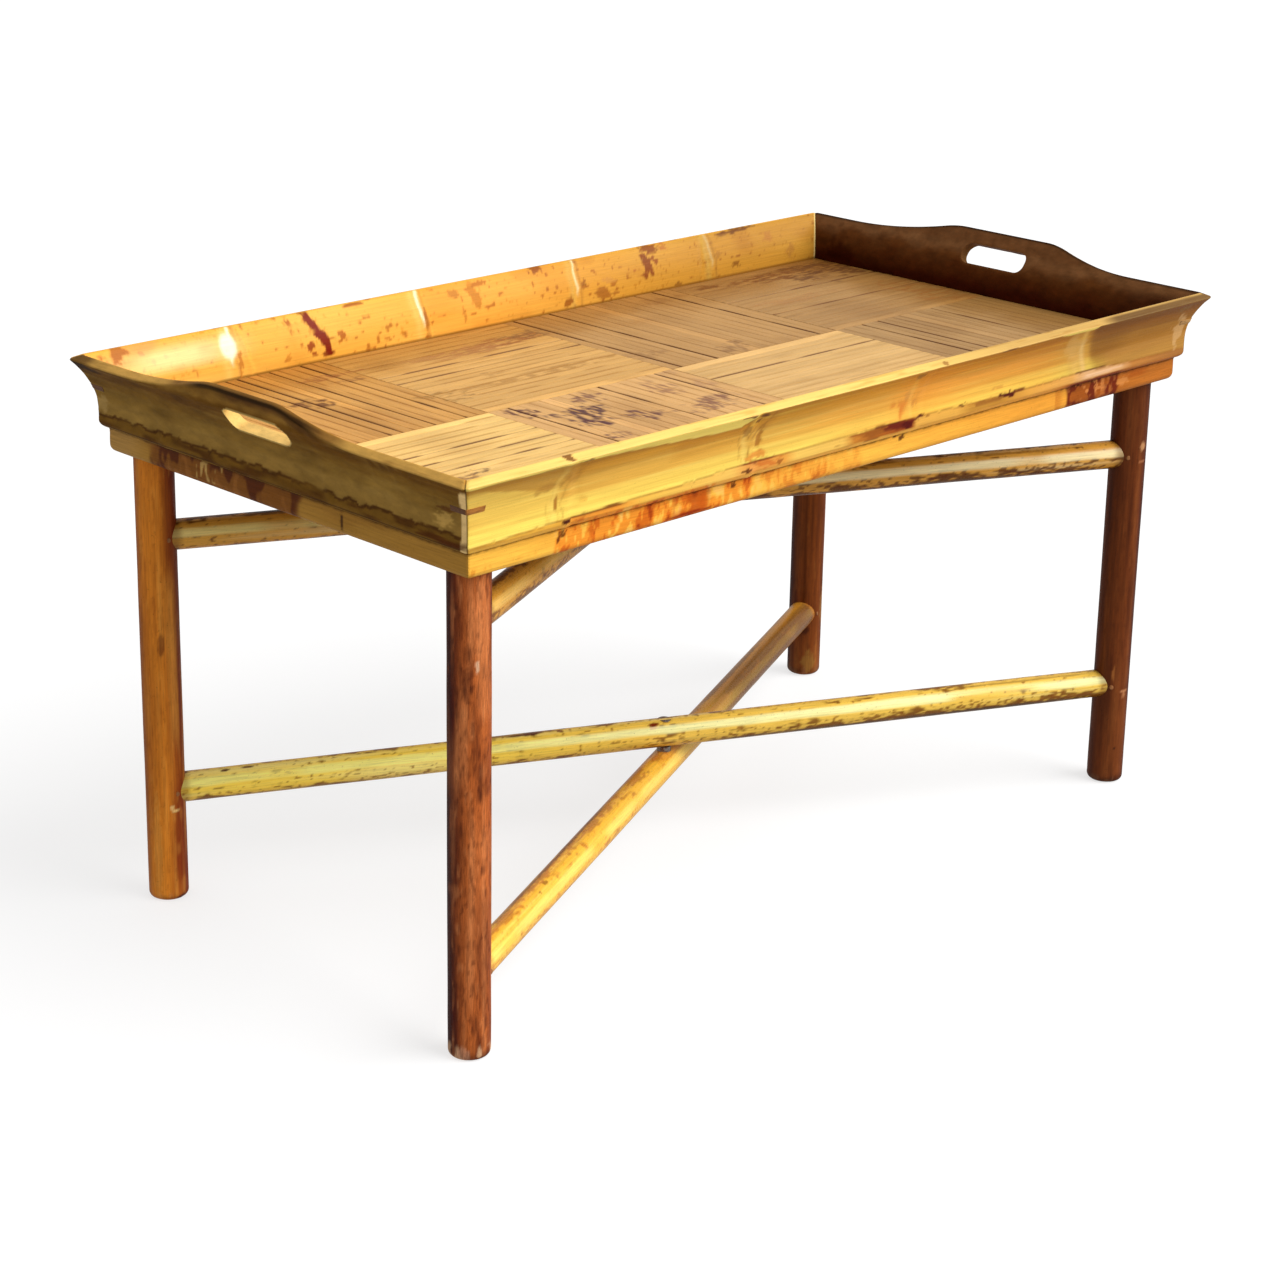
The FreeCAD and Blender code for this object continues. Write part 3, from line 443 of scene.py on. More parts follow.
# Which end of each rod goes to a back leg, and where round the rod its painted highlight stripe runs, in
# degrees
BACK_END = {"inner_lower_rod": -1, "inner_upper_rod": -1, "outer_lower_rod": 1, "outer_upper_rod": 1}
HIGHLIGHT_STRIPE = {"inner_lower_rod": 32, "inner_upper_rod": 20, "outer_lower_rod": 25, "outer_upper_rod": 25}
# Marks on the rods: place along the rod from its middle, turn round it in degrees (0 is to the right of
# a walk along the rod, 90 is up), half length, half width, colour, strength
ROD_SCARS = {
    "inner_lower_rod": [
        (-0.0135, 56, 0.0062, 0.0024, (124, 44, 12), 1.0),
        (-0.0135, 42, 0.0044, 0.0014, (240, 206, 150), 0.9),
        (-0.135, 80, 0.017, 0.0018, (84, 30, 8), 0.95), (-0.150, 90, 0.05, 0.0022, (112, 54, 12), 0.7),
        (-0.100, 80, 0.003, 0.002, (116, 42, 10), 0.9), (-0.402, 72, 0.0045, 0.002, (74, 24, 8), 0.95),
        (-0.383, 78, 0.006, 0.0016, (90, 34, 10), 0.9), (0.0, 96, 0.016, 0.0016, (120, 56, 14), 0.8),
        (-0.02, -50, 0.016, 0.0018, (130, 56, 16), 0.8), (0.14, -46, 0.10, 0.0026, (92, 60, 12), 0.75),
        (0.33, -44, 0.12, 0.003, (80, 52, 12), 0.8), (0.34, 72, 0.09, 0.0016, (150, 104, 30), 0.6),
        (-0.33, -48, 0.09, 0.0016, (128, 84, 14), 0.6),
    ],
    "outer_lower_rod": [
        (-0.30, 116, 0.10, 0.0022, (126, 66, 20), 0.7), (-0.19, 120, 0.06, 0.0026, (120, 60, 18), 0.7),
        (-0.305, 70, 0.004, 0.002, (120, 62, 18), 0.7), (-0.322, 60, 0.002, 0.0014, (112, 56, 16), 0.7),
        (0.0, 60, 0.03, 0.004, (206, 120, 40), 0.5), (0.12, 40, 0.05, 0.006, (196, 132, 62), 0.4),
        (0.20, 110, 0.1, 0.004, (96, 60, 20), 0.5),
    ],
    "inner_upper_rod": [
        (-0.33, 94, 0.07, 0.0030, (40, 18, 6), 0.9), (-0.36, 74, 0.03, 0.002, (90, 50, 14), 0.7),
        (0.26, -46, 0.1, 0.003, (96, 56, 16), 0.8), (0.34, 60, 0.05, 0.002, (150, 98, 36), 0.6),
        (0.18, 66, 0.05, 0.0022, (140, 90, 30), 0.6),
    ],
}
make_rod("outer_lower_rod", "outer_frame", OUTER_ROD_HEIGHTS[0], FORWARD, False, 3)
make_rod("outer_upper_rod", "outer_frame", OUTER_ROD_HEIGHTS[1], FORWARD, True, 5)
make_rod("inner_lower_rod", "inner_frame", INNER_ROD_HEIGHTS[0], -FORWARD, True, 8)
make_rod("inner_upper_rod", "inner_frame", INNER_ROD_HEIGHTS[1], -FORWARD, False, 9)


# Pegs: brown hardwood pins driven across each leg through the rod's tenon and rubbed flush, so that
# only their round ends show, end grain outwards.

PEG_RADIUS = 0.0022
PEG_INSET = LEG_RADIUS - 0.01
peg_wood = grained("peg_wood", streaks=(0.0012, 0.0007, 0.7, 1.25), fleck=(0.0015, 0.3), rough=(0.5, 0.7),
                   coat=0.1, ridge=0.0003)


def make_pegs(name, body, angle, heights):
    """Two pegs for each leg of a frame, one at each rod."""
    reach = math.sqrt(LEG_RADIUS ** 2 - PEG_INSET ** 2)
    turns = np.linspace(0, 2 * math.pi, 28, endpoint=False)
    profile = [(0.35, reach + 0.0002), (0.8, reach + 0.0001), (0.97, reach - 0.0003), (1.0, reach - 0.001)]
    rows = [(share, -out) for share, out in profile] + [(share, out) for share, out in reversed(profile)]
    points = []
    faces = []
    for height in heights:
        for side in (-1, 1):
            start = len(points)
            for share, out in rows:
                for turn in turns:
                    along = side * (HALF_DIAGONAL - PEG_INSET) + share * PEG_RADIUS * math.cos(turn)
                    up = height + share * PEG_RADIUS * math.sin(turn)
                    points.append((along * math.cos(angle) - out * math.sin(angle),
                                   along * math.sin(angle) + out * math.cos(angle), up))
            for face in tube_faces(len(rows), len(turns)):
                faces.append(tuple(start + corner for corner in face))
    points = np.array(points)
    piece = piece_of(f"{name}_ends", points, faces, body, [name])
    coat = Coat(points, (150, 98, 56))
    coat.lay((104, 60, 32), fade(waver(points, (0.001, 0.001, 0.001), 5), 0.0, 0.9) * 0.6)
    dress(piece, points, coat.tones, peg_wood)


make_pegs("outer_frame_pegs", "outer_frame", FORWARD, OUTER_ROD_HEIGHTS)
make_pegs("inner_frame_pegs", "inner_frame", -FORWARD, INNER_ROD_HEIGHTS)


# Pivots: a steel bolt, washer and nut at each crossing of the rods, in recesses under the rods' plugs.
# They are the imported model's own pieces with a worn, browned steel on them.

old_steel = bpy.data.materials.new("old_steel")
old_steel.use_nodes = True
steel_tree = old_steel.node_tree
steel_place = add(steel_tree, "TexCoord")
steel_patch = add(steel_tree, "TexNoise", Vector=(steel_place, "Object"), Scale=420.0, Detail=5.0,
                  Roughness=0.65)
steel_ramp = add(steel_tree, "ValToRGB", Fac=(steel_patch, "Fac"))
steel_ramp.color_ramp.elements[0].position = 0.38
steel_ramp.color_ramp.elements[0].color = (*tone(112, 66, 38), 1)
steel_ramp.color_ramp.elements[1].position = 0.6
steel_ramp.color_ramp.elements[1].color = (*tone(150, 146, 138), 1)
steel_gloss = add(steel_tree, "MapRange", Value=(steel_patch, "Fac"), From_Min=0.35, From_Max=0.65,
                  To_Min=0.75, To_Max=0.34)
steel_bump = add(steel_tree, "Bump", Height=(steel_patch, "Fac"), Distance=0.0002, Strength=0.5)
join(steel_tree, steel_tree.nodes["Principled BSDF"], Base_Color=(steel_ramp, "Color"), Metallic=0.85,
     Roughness=(steel_gloss, "Result"), Normal=(steel_bump, "Normal"))
for level in ("lower", "upper"):
    for part in ("bolt", "washer", "nut"):
        wear(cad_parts[f"{level}_pivot_{part}"], old_steel)


# Skirt: four bamboo boards under the tray, mitred and glued to the sides, their lower edge eased.
# The front one is orange with a tortoiseshell stretch burnt into its skin; the ends are browner.

HALF_LENGTH = 0.457
HALF_WIDTH = 0.246
SIDE_FOOT = 0.419
SKIRT_IN = -0.023
SKIRT_THICK = 0.012
SKIRT_ROUND = 0.006
SKIRT_SHOULDER = 0.4188
TONGUE_IN = -0.0272
TONGUE_TOP = 0.428
SKIRT_INSET = 0.0002
SKIRT_STEP = 0.0016
OUTLINE_STEP = 0.0013
PLAN_ROUND = 0.0022
HARDLY_ROUND = 0.0001
MITRE_GAP = 0.0001
skirt_skin = grained("skirt_skin", streaks=(0.03, 0.0014, 0.84, 1.14), fleck=(0.002, 0.25),
                     rough=(0.36, 0.56), coat=0.0, ridge=0.0004, shine=0.06)
PLACES = {
    # side of the tray: reach of its lip, half of its length, outward direction
    "front": (HALF_WIDTH, HALF_LENGTH, (0, -1)),
    "back": (HALF_WIDTH, HALF_LENGTH, (0, 1)),
    "left": (HALF_LENGTH, HALF_WIDTH, (-1, 0)),
    "right": (HALF_LENGTH, HALF_WIDTH, (1, 0)),
}


def rounded(outline, spacing, soften):
    """An outline cut into even steps; corners are rounded over the soften length."""
    outline = np.array(outline, float)
    closed = np.r_[outline, outline[:1]]
    lengths = np.r_[0, np.cumsum(np.hypot(*np.diff(closed, axis=0).T))]
    count = int(lengths[-1] / spacing)
    stations = np.arange(count) * lengths[-1] / count
    even = np.c_[np.interp(stations, lengths, closed[:, 0]), np.interp(stations, lengths, closed[:, 1])]
    for _ in range(soften):
        even = even * 0.5 + (np.roll(even, 1, axis=0) + np.roll(even, -1, axis=0)) * 0.25
    return even


def board_shares(half, spacing):
    """Stations along a board from -1 to 1, closer together at its two ends."""
    even = np.linspace(-1, 1, int(2 * half / spacing) + 1)
    close = 1 - np.array([0.0003, 0.0007, 0.0012, 0.0018, 0.0026, 0.0035]) / half
    return np.unique(np.r_[even, close, -close])


def lay_board(side, shares, rings, turned, name, stands_for):
    """A mitred board: rings of (outward, height) from the lip's edge, one ring for each station.

    turned gives, for each point, how far the board's end is rounded in plan there."""
    reach, half, (out_x, out_y) = PLACES[side]
    stations, around = rings.shape[:2]
    outward = rings[:, :, 0]
    room = half + outward - MITRE_GAP
    from_end = room * (1 - np.abs(shares[:, None]))
    pulled = 1 - math.sqrt(0.5)
    near = np.clip(turned * pulled + from_end * (1 - pulled), 0, turned)
    far = reach + outward - (turned - np.sqrt(turned ** 2 - (turned - near) ** 2))
    from_end = np.where(from_end < turned, near, from_end)
    along = np.sign(shares)[:, None] * (room - from_end)
    if out_x:
        points = np.stack([far * out_x, along, rings[:, :, 1]], axis=2)
    else:
        points = np.stack([along, far * out_y, rings[:, :, 1]], axis=2)
    faces = tube_faces(stations, around)
    if side in ("back", "left"):
        faces = [face[::-1] for face in faces]
    return piece_of(name, points.reshape(-1, 3), faces, "tray", stands_for)


def board_spots(side, points):
    """Where a board's points lie: along it, outward from the lip's edge, and height."""
    reach, _, (out_x, out_y) = PLACES[side]
    if out_x:
        return np.c_[points[:, 1], points[:, 0] * out_x - reach, points[:, 2]]
    return np.c_[points[:, 0], points[:, 1] * out_y - reach, points[:, 2]]


def blot(along, height, centre, size, rag, seed):
    """Share of a ragged blotch at each point: centre and size are (along, height)."""
    spot = np.c_[along, height, np.zeros(len(along))]
    far = np.hypot((along - centre[0]) / size[0], (height - centre[1]) / size[1])
    pace = np.array([size[0], size[1], size[1]]) * 0.7
    far = far + rag * waver(spot, pace, seed) + rag * 0.5 * waver(spot, pace * 0.35, seed + 1)
    return fade(far, 1.15, 0.7)


def make_skirt(side, painted, seed):
    """One board under a side, with a tongue that stands up inside the side's foot."""
    inner = SKIRT_IN - SKIRT_THICK
    turns = np.linspace(-math.pi / 2, 0, 7)
    outline = [(inner, LEG_HEIGHT)]
    outline += [(SKIRT_IN - SKIRT_ROUND + SKIRT_ROUND * math.cos(turn),
                 LEG_HEIGHT + SKIRT_ROUND + SKIRT_ROUND * math.sin(turn)) for turn in turns]
    outline += [(SKIRT_IN, SKIRT_SHOULDER), (TONGUE_IN, SKIRT_SHOULDER), (TONGUE_IN, TONGUE_TOP),
                (inner, TONGUE_TOP)]
    section = rounded(outline, OUTLINE_STEP, 1)
    half = PLACES[side][1]
    shares = board_shares(half, SKIRT_STEP)
    rings = np.repeat(section[None], len(shares), axis=0)
    along = half * shares[:, None] + 0 * rings[:, :, 0]
    spot = np.c_[along.ravel(), rings[:, :, 0].ravel(), rings[:, :, 1].ravel()]
    face = (rings[:, :, 1] < SKIRT_SHOULDER - OUTLINE_STEP) & (rings[:, :, 0] > SKIRT_IN - SKIRT_ROUND)
    swell = 0.00022 * waver(spot, (0.05, 0.01, 0.012), seed).reshape(face.shape)
    rings[:, :, 0] += np.where(face, swell - SKIRT_INSET, 0)
    turned = np.where(face, PLAN_ROUND, HARDLY_ROUND)
    piece = lay_board(side, shares, rings, turned, f"{side}_skirt_board",
                      [f"{side}_skirt"])
    spot = board_spots(side, points_of(piece))
    height = spot[:, 2]
    coat = painted(spot)
    # painted shade with dirt under the side's rounded foot: darker along the skirt's top
    dark_top = fade(height + 0.0009 * waver(spot, (0.004, 0.01, 0.004), seed + 2), 0.4168, 0.4186)
    coat.lay((72, 40, 14), dark_top * 0.7)
    # painted shade along the skirt's rounded lower edge
    under = fade(height, 0.3998, 0.3984)
    coat.lay((134, 86, 34), under * 0.6)
    dress(piece, spot + [0, seed, 0], coat.tones, skirt_skin)


def near(values, place, start, full):
    """1 close to a place, 0 from start on to either side of it, smooth between."""
    return fade(np.abs(values - place), start, full)


def tortoiseshell(coat, start, stop, strength, seed):
    """Burnt orange-red mottling in upright cells with pale islands, between two places along a board."""
    spot = coat.spot
    along = spot[:, 0]
    edge = 0.01 * waver(spot, (0.01, 0.02, 0.012), seed + 3)
    inside = fade(along + edge, start - 0.002, start + 0.002)
    inside = inside * fade(along + edge, stop + 0.003, stop - 0.003)
    burn = waver(spot, (0.010, 0.02, 0.02), seed) + 0.6 * waver(spot, (0.004, 0.01, 0.008), seed + 1)
    burn = burn + 0.4 * waver(spot, (0.0018, 0.01, 0.004), seed + 2)
    coat.lay((238, 146, 44), inside * fade(burn, -0.5, -0.3) * strength)
    coat.lay((214, 108, 26), inside * fade(burn, 0.12, 0.3) * strength)
    coat.lay((170, 66, 12), inside * fade(burn, 0.66, 0.86) * strength)
    coat.lay((252, 190, 90), inside * fade(burn, -0.55, -0.75) * strength)


def front_skirt_coat(spot):
    """Orange skin, burnt in tortoiseshell cells left of the middle and dark red near the right end."""
    along, _, height = spot.T
    coat = Coat(spot, (250, 188, 72))
    coat.lay((240, 156, 46), coat.patch((0.05, 0.01, 0.008), 61, -0.1, 0.8) * 0.5)
    coat.lay((242, 166, 58), fade(along, -0.05, 0.1) * 0.6)
    coat.lay((232, 152, 50), fade(along, 0.1, 0.24) * 0.7)
    strokes = coat.patch((0.0025, 0.01, 0.012), 62, 0.25, 0.6) * fade(height, 0.4075, 0.4035)
    coat.lay((214, 132, 34), strokes * fade(along, -0.33, -0.36) * 0.7)
    tortoiseshell(coat, -0.345, -0.132, 1.0, 63)
    cells = waver(spot, (0.010, 0.01, 0.012), 65) + 0.5 * waver(spot, (0.004, 0.01, 0.008), 66)
    red = fade(along + 0.006 * waver(spot, (0.01, 0.01, 0.01), 59), -0.228, -0.216)
    red = red * fade(along, -0.178, -0.19)
    coat.lay((196, 88, 16), red * fade(cells, -0.7, -0.4) * 0.95)
    coat.lay((158, 60, 10), red * fade(cells, 0.2, 0.5) * 0.8)
    tortoiseshell(coat, -0.128, -0.05, 0.5, 68)
    tortoiseshell(coat, -0.05, 0.0, 0.25, 72)
    dark = fade(along + 0.004 * waver(spot, (0.01, 0.01, 0.01), 60), 0.268, 0.273)
    dark = dark * fade(along, 0.366, 0.345)
    coat.lay((150, 66, 16), dark * 0.9)
    coat.lay((110, 34, 8), dark * fade(cells, -0.2, 0.0) * 0.95)
    islands = waver(spot, (0.0045, 0.01, 0.005), 58) + 0.35 * waver(spot, (0.0016, 0.01, 0.002), 57)
    middle = near(along, 0.305, 0.03, 0.015) * fade(height, 0.4055, 0.4085)
    coat.lay((214, 132, 66), dark * fade(islands, 0.15, 0.3) * (0.3 + 0.7 * middle) * 0.85)
    coat.lay((184, 104, 34), fade(along, 0.345, 0.352) * 0.95)
    past_dark = fade(along, 0.35, 0.37) * fade(along, 0.4, 0.38)
    coat.lay((168, 80, 16), past_dark * fade(height, 0.409, 0.413) * 0.7)
    before_dark = fade(along, 0.242, 0.25) * fade(along, 0.268, 0.26)
    coat.lay((196, 108, 30), before_dark * fade(cells, 0.1, 0.3) * 0.5)
    for place, up, wide, tall, colour in ((-0.341, 0.4138, 0.006, 0.0026, (92, 36, 8)),
                                          (-0.3445, 0.411, 0.0016, 0.003, (92, 36, 8)),
                                          (0.0455, 0.4148, 0.004, 0.0028, (84, 30, 8)),
                                          (0.038, 0.4182, 0.003, 0.0012, (92, 36, 8)),
                                          (-0.1575, 0.4146, 0.003, 0.0035, (84, 34, 10)),
                                          (-0.205, 0.4024, 0.02, 0.0016, (150, 44, 6)),
                                          (0.356, 0.410, 0.008, 0.0042, (206, 130, 62))):
        coat.lay(colour, blot(along, height, (place, up), (wide, tall), 0.5, 67) * 0.9)
    return coat


def end_skirt_coat(spot):
    """The ends' boards: pale tan, a dark red-brown scorch with upright pale strokes in the middle."""
    along, _, height = spot.T
    coat = Coat(spot, (182, 132, 52))
    coat.lay((158, 108, 36), coat.patch((0.04, 0.01, 0.008), 71, -0.2, 0.7) * 0.6)
    coat.lay((188, 144, 78), fade(along, 0.165, 0.2) * 0.7)
    edge = 0.012 * waver(spot, (0.02, 0.02, 0.012), 74)
    dark = fade(along + edge, -0.034, -0.018) * fade(along + edge, 0.168, 0.15)
    burn = waver(spot, (0.010, 0.02, 0.02), 73) + 0.5 * waver(spot, (0.004, 0.01, 0.01), 76)
    coat.lay((132, 76, 20), dark * 0.92)
    coat.lay((96, 44, 8), dark * fade(burn, -0.05, 0.25))
    coat.lay((160, 100, 40), dark * fade(burn, -0.45, -0.75) * 0.7)
    strokes = waver(spot, (0.003, 0.02, 0.02), 77) + 0.4 * waver(spot, (0.002, 0.02, 0.006), 78)
    stretch = fade(along, 0.062, 0.070) * fade(along, 0.108, 0.100) * fade(height, 0.4015, 0.4035)
    coat.lay((206, 164, 92), dark * fade(strokes, 0.25, 0.45) * stretch * 0.9)
    coat.lay((60, 28, 8), blot(along, height, (-0.08, 0.408), (0.002, 0.0065), 0.4, 75) * 0.85)
    return coat


make_skirt("front", front_skirt_coat, 1)
make_skirt("back", front_skirt_coat, 2)
make_skirt("left", end_skirt_coat, 3)
make_skirt("right", end_skirt_coat, 4)


# Corner blocks: softwood blocks glued inside the skirt, over the leg tops; plain sawn faces.
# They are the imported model's own pieces with a sawn softwood on them.


def sawn_wood(name, light, dark, ring_scale):
    """A bare sawn wood, its year rings and fibres laid along the piece."""
    material = bpy.data.materials.new(name)
    material.use_nodes = True
    tree = material.node_tree
    place = add(tree, "TexCoord")
    laid = add(tree, "Mapping", Vector=(place, "Object"), Scale=(4.0, 40.0, 60.0))
    rings = add(tree, "TexWave", Vector=(laid, "Vector"), Scale=ring_scale, Distortion=3.5, Detail=3.0,
                Detail_Scale=1.4)
    fibre = add(tree, "TexNoise", Vector=(laid, "Vector"), Scale=9.0, Detail=6.0)
    both = add(tree, "Math")
    both.operation = "MULTIPLY"
    tree.links.new(rings.outputs["Fac"], both.inputs[0])
    tree.links.new(fibre.outputs["Fac"], both.inputs[1])
    ramp = add(tree, "ValToRGB", Fac=(both, "Value"))
    ramp.color_ramp.elements[0].position = 0.08
    ramp.color_ramp.elements[0].color = (*dark, 1)
    ramp.color_ramp.elements[1].position = 0.5
    ramp.color_ramp.elements[1].color = (*light, 1)
    gloss = add(tree, "MapRange", Value=(fibre, "Fac"), From_Min=0.3, From_Max=0.7, To_Min=0.6,
                To_Max=0.85)
    bump = add(tree, "Bump", Height=(both, "Value"), Distance=0.0005, Strength=0.4)
    join(tree, tree.nodes["Principled BSDF"], Base_Color=(ramp, "Color"), Roughness=(gloss, "Result"),
         Normal=(bump, "Normal"))
    return material


block_wood = sawn_wood("block_softwood", tone(196, 150, 96), tone(140, 94, 52), 1.6)
for corner_name in ("front_left", "front_right", "back_left", "back_right"):
    wear(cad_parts[f"{corner_name}_corner_block"], block_wood)


# Sides: four boards split from a giant bamboo, bright skin inwards, flared outwards to a lip and mitred.
# Node rings cross them; both ends rise to a sawn handle with a hand slot.

RIM = 0.4765
LIP_TOP = 0.481
FLOOR_TOP = 0.438
FLARE_START = 0.436
LIP_WIDTH = 0.0095
SIDE_INSET = 0.017
WALL_DEPTH = 0.027
FLARE_RADIUS = (SIDE_INSET ** 2 + (RIM - FLARE_START) ** 2) / (2 * SIDE_INSET)
INNER_INSET = WALL_DEPTH - LIP_WIDTH
INNER_RADIUS = (INNER_INSET ** 2 + (LIP_TOP - FLOOR_TOP) ** 2) / (2 * INNER_INSET)
LIP_TILT = math.atan2(LIP_TOP - RIM, LIP_WIDTH)
LIP_SLANT = math.hypot(LIP_TOP - RIM, LIP_WIDTH)
ACROSS = np.array([math.cos(LIP_TILT), -math.sin(LIP_TILT)])
UPWARD = np.array([math.sin(LIP_TILT), math.cos(LIP_TILT)])
HANDLE_RISE = 0.0165
HANDLE_THIN = 0.0055
SHOULDER_SHARE = 0.18
SLOT_HALF = 0.038
SLOT_HIGH = 0.0105
SLOT_CORNER = 0.009
SLOT_DROP = 0.009
FOOT_EASE = 0.006
SKIRT_LAP = 0.0231
SIDE_STEP = 0.0018
SKIN_INSET = 0.00015
SLOT_CUT = (-0.03, 0.04)
side_skin = grained("side_skin", streaks=(0.05, 0.0014, 0.9, 1.1), fleck=(0.0016, 0.22), rough=(0.34, 0.55),
                    coat=0.03, ridge=0.0004, shine=0.1)
dark_skin = grained("dark_skin", streaks=(0.016, 0.007, 0.82, 1.22), fleck=(0.0012, 0.3), rough=(0.4, 0.6),
                    coat=0.0, ridge=0.0003, shine=0.03)
OUTER_STEPS = 44
LIP_STEPS = 11
INNER_STEPS = 34


def outer_face(height):
    """How far the outer face lies from the lip's edge, at a height."""
    above = np.clip(height - FLARE_START, 0, None)
    foot = np.clip(SIDE_FOOT + FOOT_EASE - height, 0, FOOT_EASE)
    rounding = FOOT_EASE - np.sqrt(FOOT_EASE ** 2 - foot ** 2)
    return -SIDE_INSET + FLARE_RADIUS - np.sqrt(FLARE_RADIUS ** 2 - above ** 2) - rounding


def inner_face(height):
    """How far the inner face lies from the lip's edge, at a height."""
    above = np.clip(height - FLOOR_TOP, 0, LIP_TOP - FLOOR_TOP)
    return -WALL_DEPTH + INNER_RADIUS - np.sqrt(INNER_RADIUS ** 2 - above ** 2)


def evenly(outline, steps):
    """An open outline in even steps, its last point left out."""
    outline = np.array(outline)
    lengths = np.r_[0, np.cumsum(np.hypot(*np.diff(outline, axis=0).T))]
    stations = np.linspace(0, lengths[-1], steps + 1)[:-1]
    return np.c_[np.interp(stations, lengths, outline[:, 0]), np.interp(stations, lengths, outline[:, 1])]


def side_section(rise):
    """One ring of a side's section where the handle stands up by rise."""
    lip_inner = np.array([-LIP_WIDTH, LIP_TOP])
    top_inner = lip_inner + rise * UPWARD
    thick = LIP_SLANT - (LIP_SLANT - HANDLE_THIN) * rise / HANDLE_RISE
    top_outer = top_inner + thick * ACROSS
    foot = SIDE_FOOT + FOOT_EASE * (1 - np.cos(np.linspace(0, math.pi / 2, 8)))
    foot_face = [(outer_face(level), level) for level in foot]
    upper = np.linspace(FLARE_START, RIM, 30)
    outer = foot_face + [(outer_face(level), level) for level in upper] + [tuple(top_outer)]
    inner_levels = np.linspace(LIP_TOP, FLOOR_TOP, 30)
    inner = [tuple(top_inner)] + [(inner_face(level), level) for level in inner_levels]
    inner += [(-WALL_DEPTH, SIDE_FOOT)]
    bottom = [(-WALL_DEPTH, SIDE_FOOT), (-SKIRT_LAP, SIDE_FOOT)]
    ring = np.r_[evenly(outer, OUTER_STEPS), evenly([top_outer, top_inner], LIP_STEPS),
                 evenly(inner, INNER_STEPS), evenly(bottom, 3)]
    soften = np.zeros(len(ring))
    soften[OUTER_STEPS - 2:OUTER_STEPS + 4] = 1
    soften[OUTER_STEPS + LIP_STEPS - 2:OUTER_STEPS + LIP_STEPS + 2] = 1
    for _ in range(3):
        eased = ring * 0.5 + (np.roll(ring, 1, axis=0) + np.roll(ring, -1, axis=0)) * 0.25
        ring = ring + (eased - ring) * soften[:, None]
    return ring


def handle_rise(along, back_top, back_foot, front_top, front_foot):
    """Height of a handle above the lip along an end board: a flat top and two swept ramps."""
    top = np.where(along > 0, back_top, front_top)
    foot = np.where(along > 0, back_foot, front_foot)
    off = np.abs(along)
    shoulder_run = (foot - top) * SHOULDER_SHARE
    shoulder_drop = HANDLE_RISE * SHOULDER_SHARE
    foot_run = foot - top - shoulder_run
    foot_rise = HANDLE_RISE - shoulder_drop
    shoulder = HANDLE_RISE - shoulder_drop * (np.clip(off - top, 0, shoulder_run) / shoulder_run) ** 2
    hollow = foot_rise * (np.clip(foot - off, 0, foot_run) / foot_run) ** 2
    return np.where(off < top + shoulder_run, shoulder, hollow)


def knot_lean(ring, height):
    """Where a node ring runs at a height: it wanders and leans a little."""
    place, _, lean = ring[:3]
    seed = int(abs(place) * 1000)
    spot = np.c_[height, np.zeros(len(height)), np.zeros(len(height))]
    leaning = place + lean * (height - 0.45)
    return leaning + 0.0022 * waver(spot, 0.013, seed) + 0.0008 * waver(spot, 0.004, seed)


def make_side(side, outside_rings, inside_rings, painted, skin, seed, handle=None):
    """One board: its section swept along it, swollen at the nodes, with a handle where one is given."""
    half = PLACES[side][1]
    shares = board_shares(half, SIDE_STEP)
    nominal = half * shares
    if handle:
        rings = np.array([side_section(rise) for rise in handle_rise(nominal, *handle)])
    else:
        rings = np.repeat(side_section(0.0)[None], len(shares), axis=0)
    shape = rings.shape[:2]
    before = np.roll(rings, 1, axis=1)
    after = np.roll(rings, -1, axis=1)
    tangent = after - before
    normal = np.stack([tangent[:, :, 1], -tangent[:, :, 0]], axis=2)
    normal /= np.linalg.norm(normal, axis=2)[:, :, None]
    along = np.repeat(nominal[:, None], shape[1], axis=1).ravel()
    height = rings[:, :, 1].ravel()
    step = np.tile(np.arange(shape[1]), shape[0])
    spot = np.c_[along, rings[:, :, 0].ravel(), height]
    outside = fade(step, OUTER_STEPS + 3, OUTER_STEPS - 1) * (step <= OUTER_STEPS + 3)
    inside = (step > OUTER_STEPS + LIP_STEPS) & (step < OUTER_STEPS + LIP_STEPS + INNER_STEPS)
    lift = 0.00035 * waver(spot, (0.09, 0.03, 0.02), seed) * outside
    lift += 0.00012 * waver(spot, (0.03, 0.006, 0.005), seed + 1) * outside
    lift += 0.0002 * waver(spot, (0.08, 0.03, 0.03), seed + 2) * inside
    for ring in outside_rings:
        off = along - knot_lean(ring, height)
        swell = bell(off, 0.005) * 0.0007 - bell(off - 0.008, 0.005) * 0.0006
        lift += swell * ring[1] * outside
    for ring in inside_rings:
        off = along - knot_lean(ring, height)
        swell = bell(off, 0.0022) * 0.0006 - bell(off - 0.005, 0.003) * 0.0003
        lift += swell * inside
    lift -= 0.0003 * fade(np.abs(along), half - 0.003, half)
    rings = rings + normal * (lift.reshape(shape) - SKIN_INSET)[:, :, None]
    plain = inside | (step >= OUTER_STEPS + LIP_STEPS + INNER_STEPS)
    tip_round = 0.0012 + 0.0038 * fade(height, 0.462, RIM)
    turned = np.where(plain, HARDLY_ROUND, tip_round).reshape(shape)
    piece = lay_board(side, shares, rings, turned, f"{side}_board",
                      [f"{side}_side" if side in ("front", "back") else f"{side}_end"])
    if handle:
        cut_out(piece, slot_cutter(side))
    spot = board_spots(side, points_of(piece))
    dress(piece, spot + [0, seed, 0], painted(spot).tones, skin)


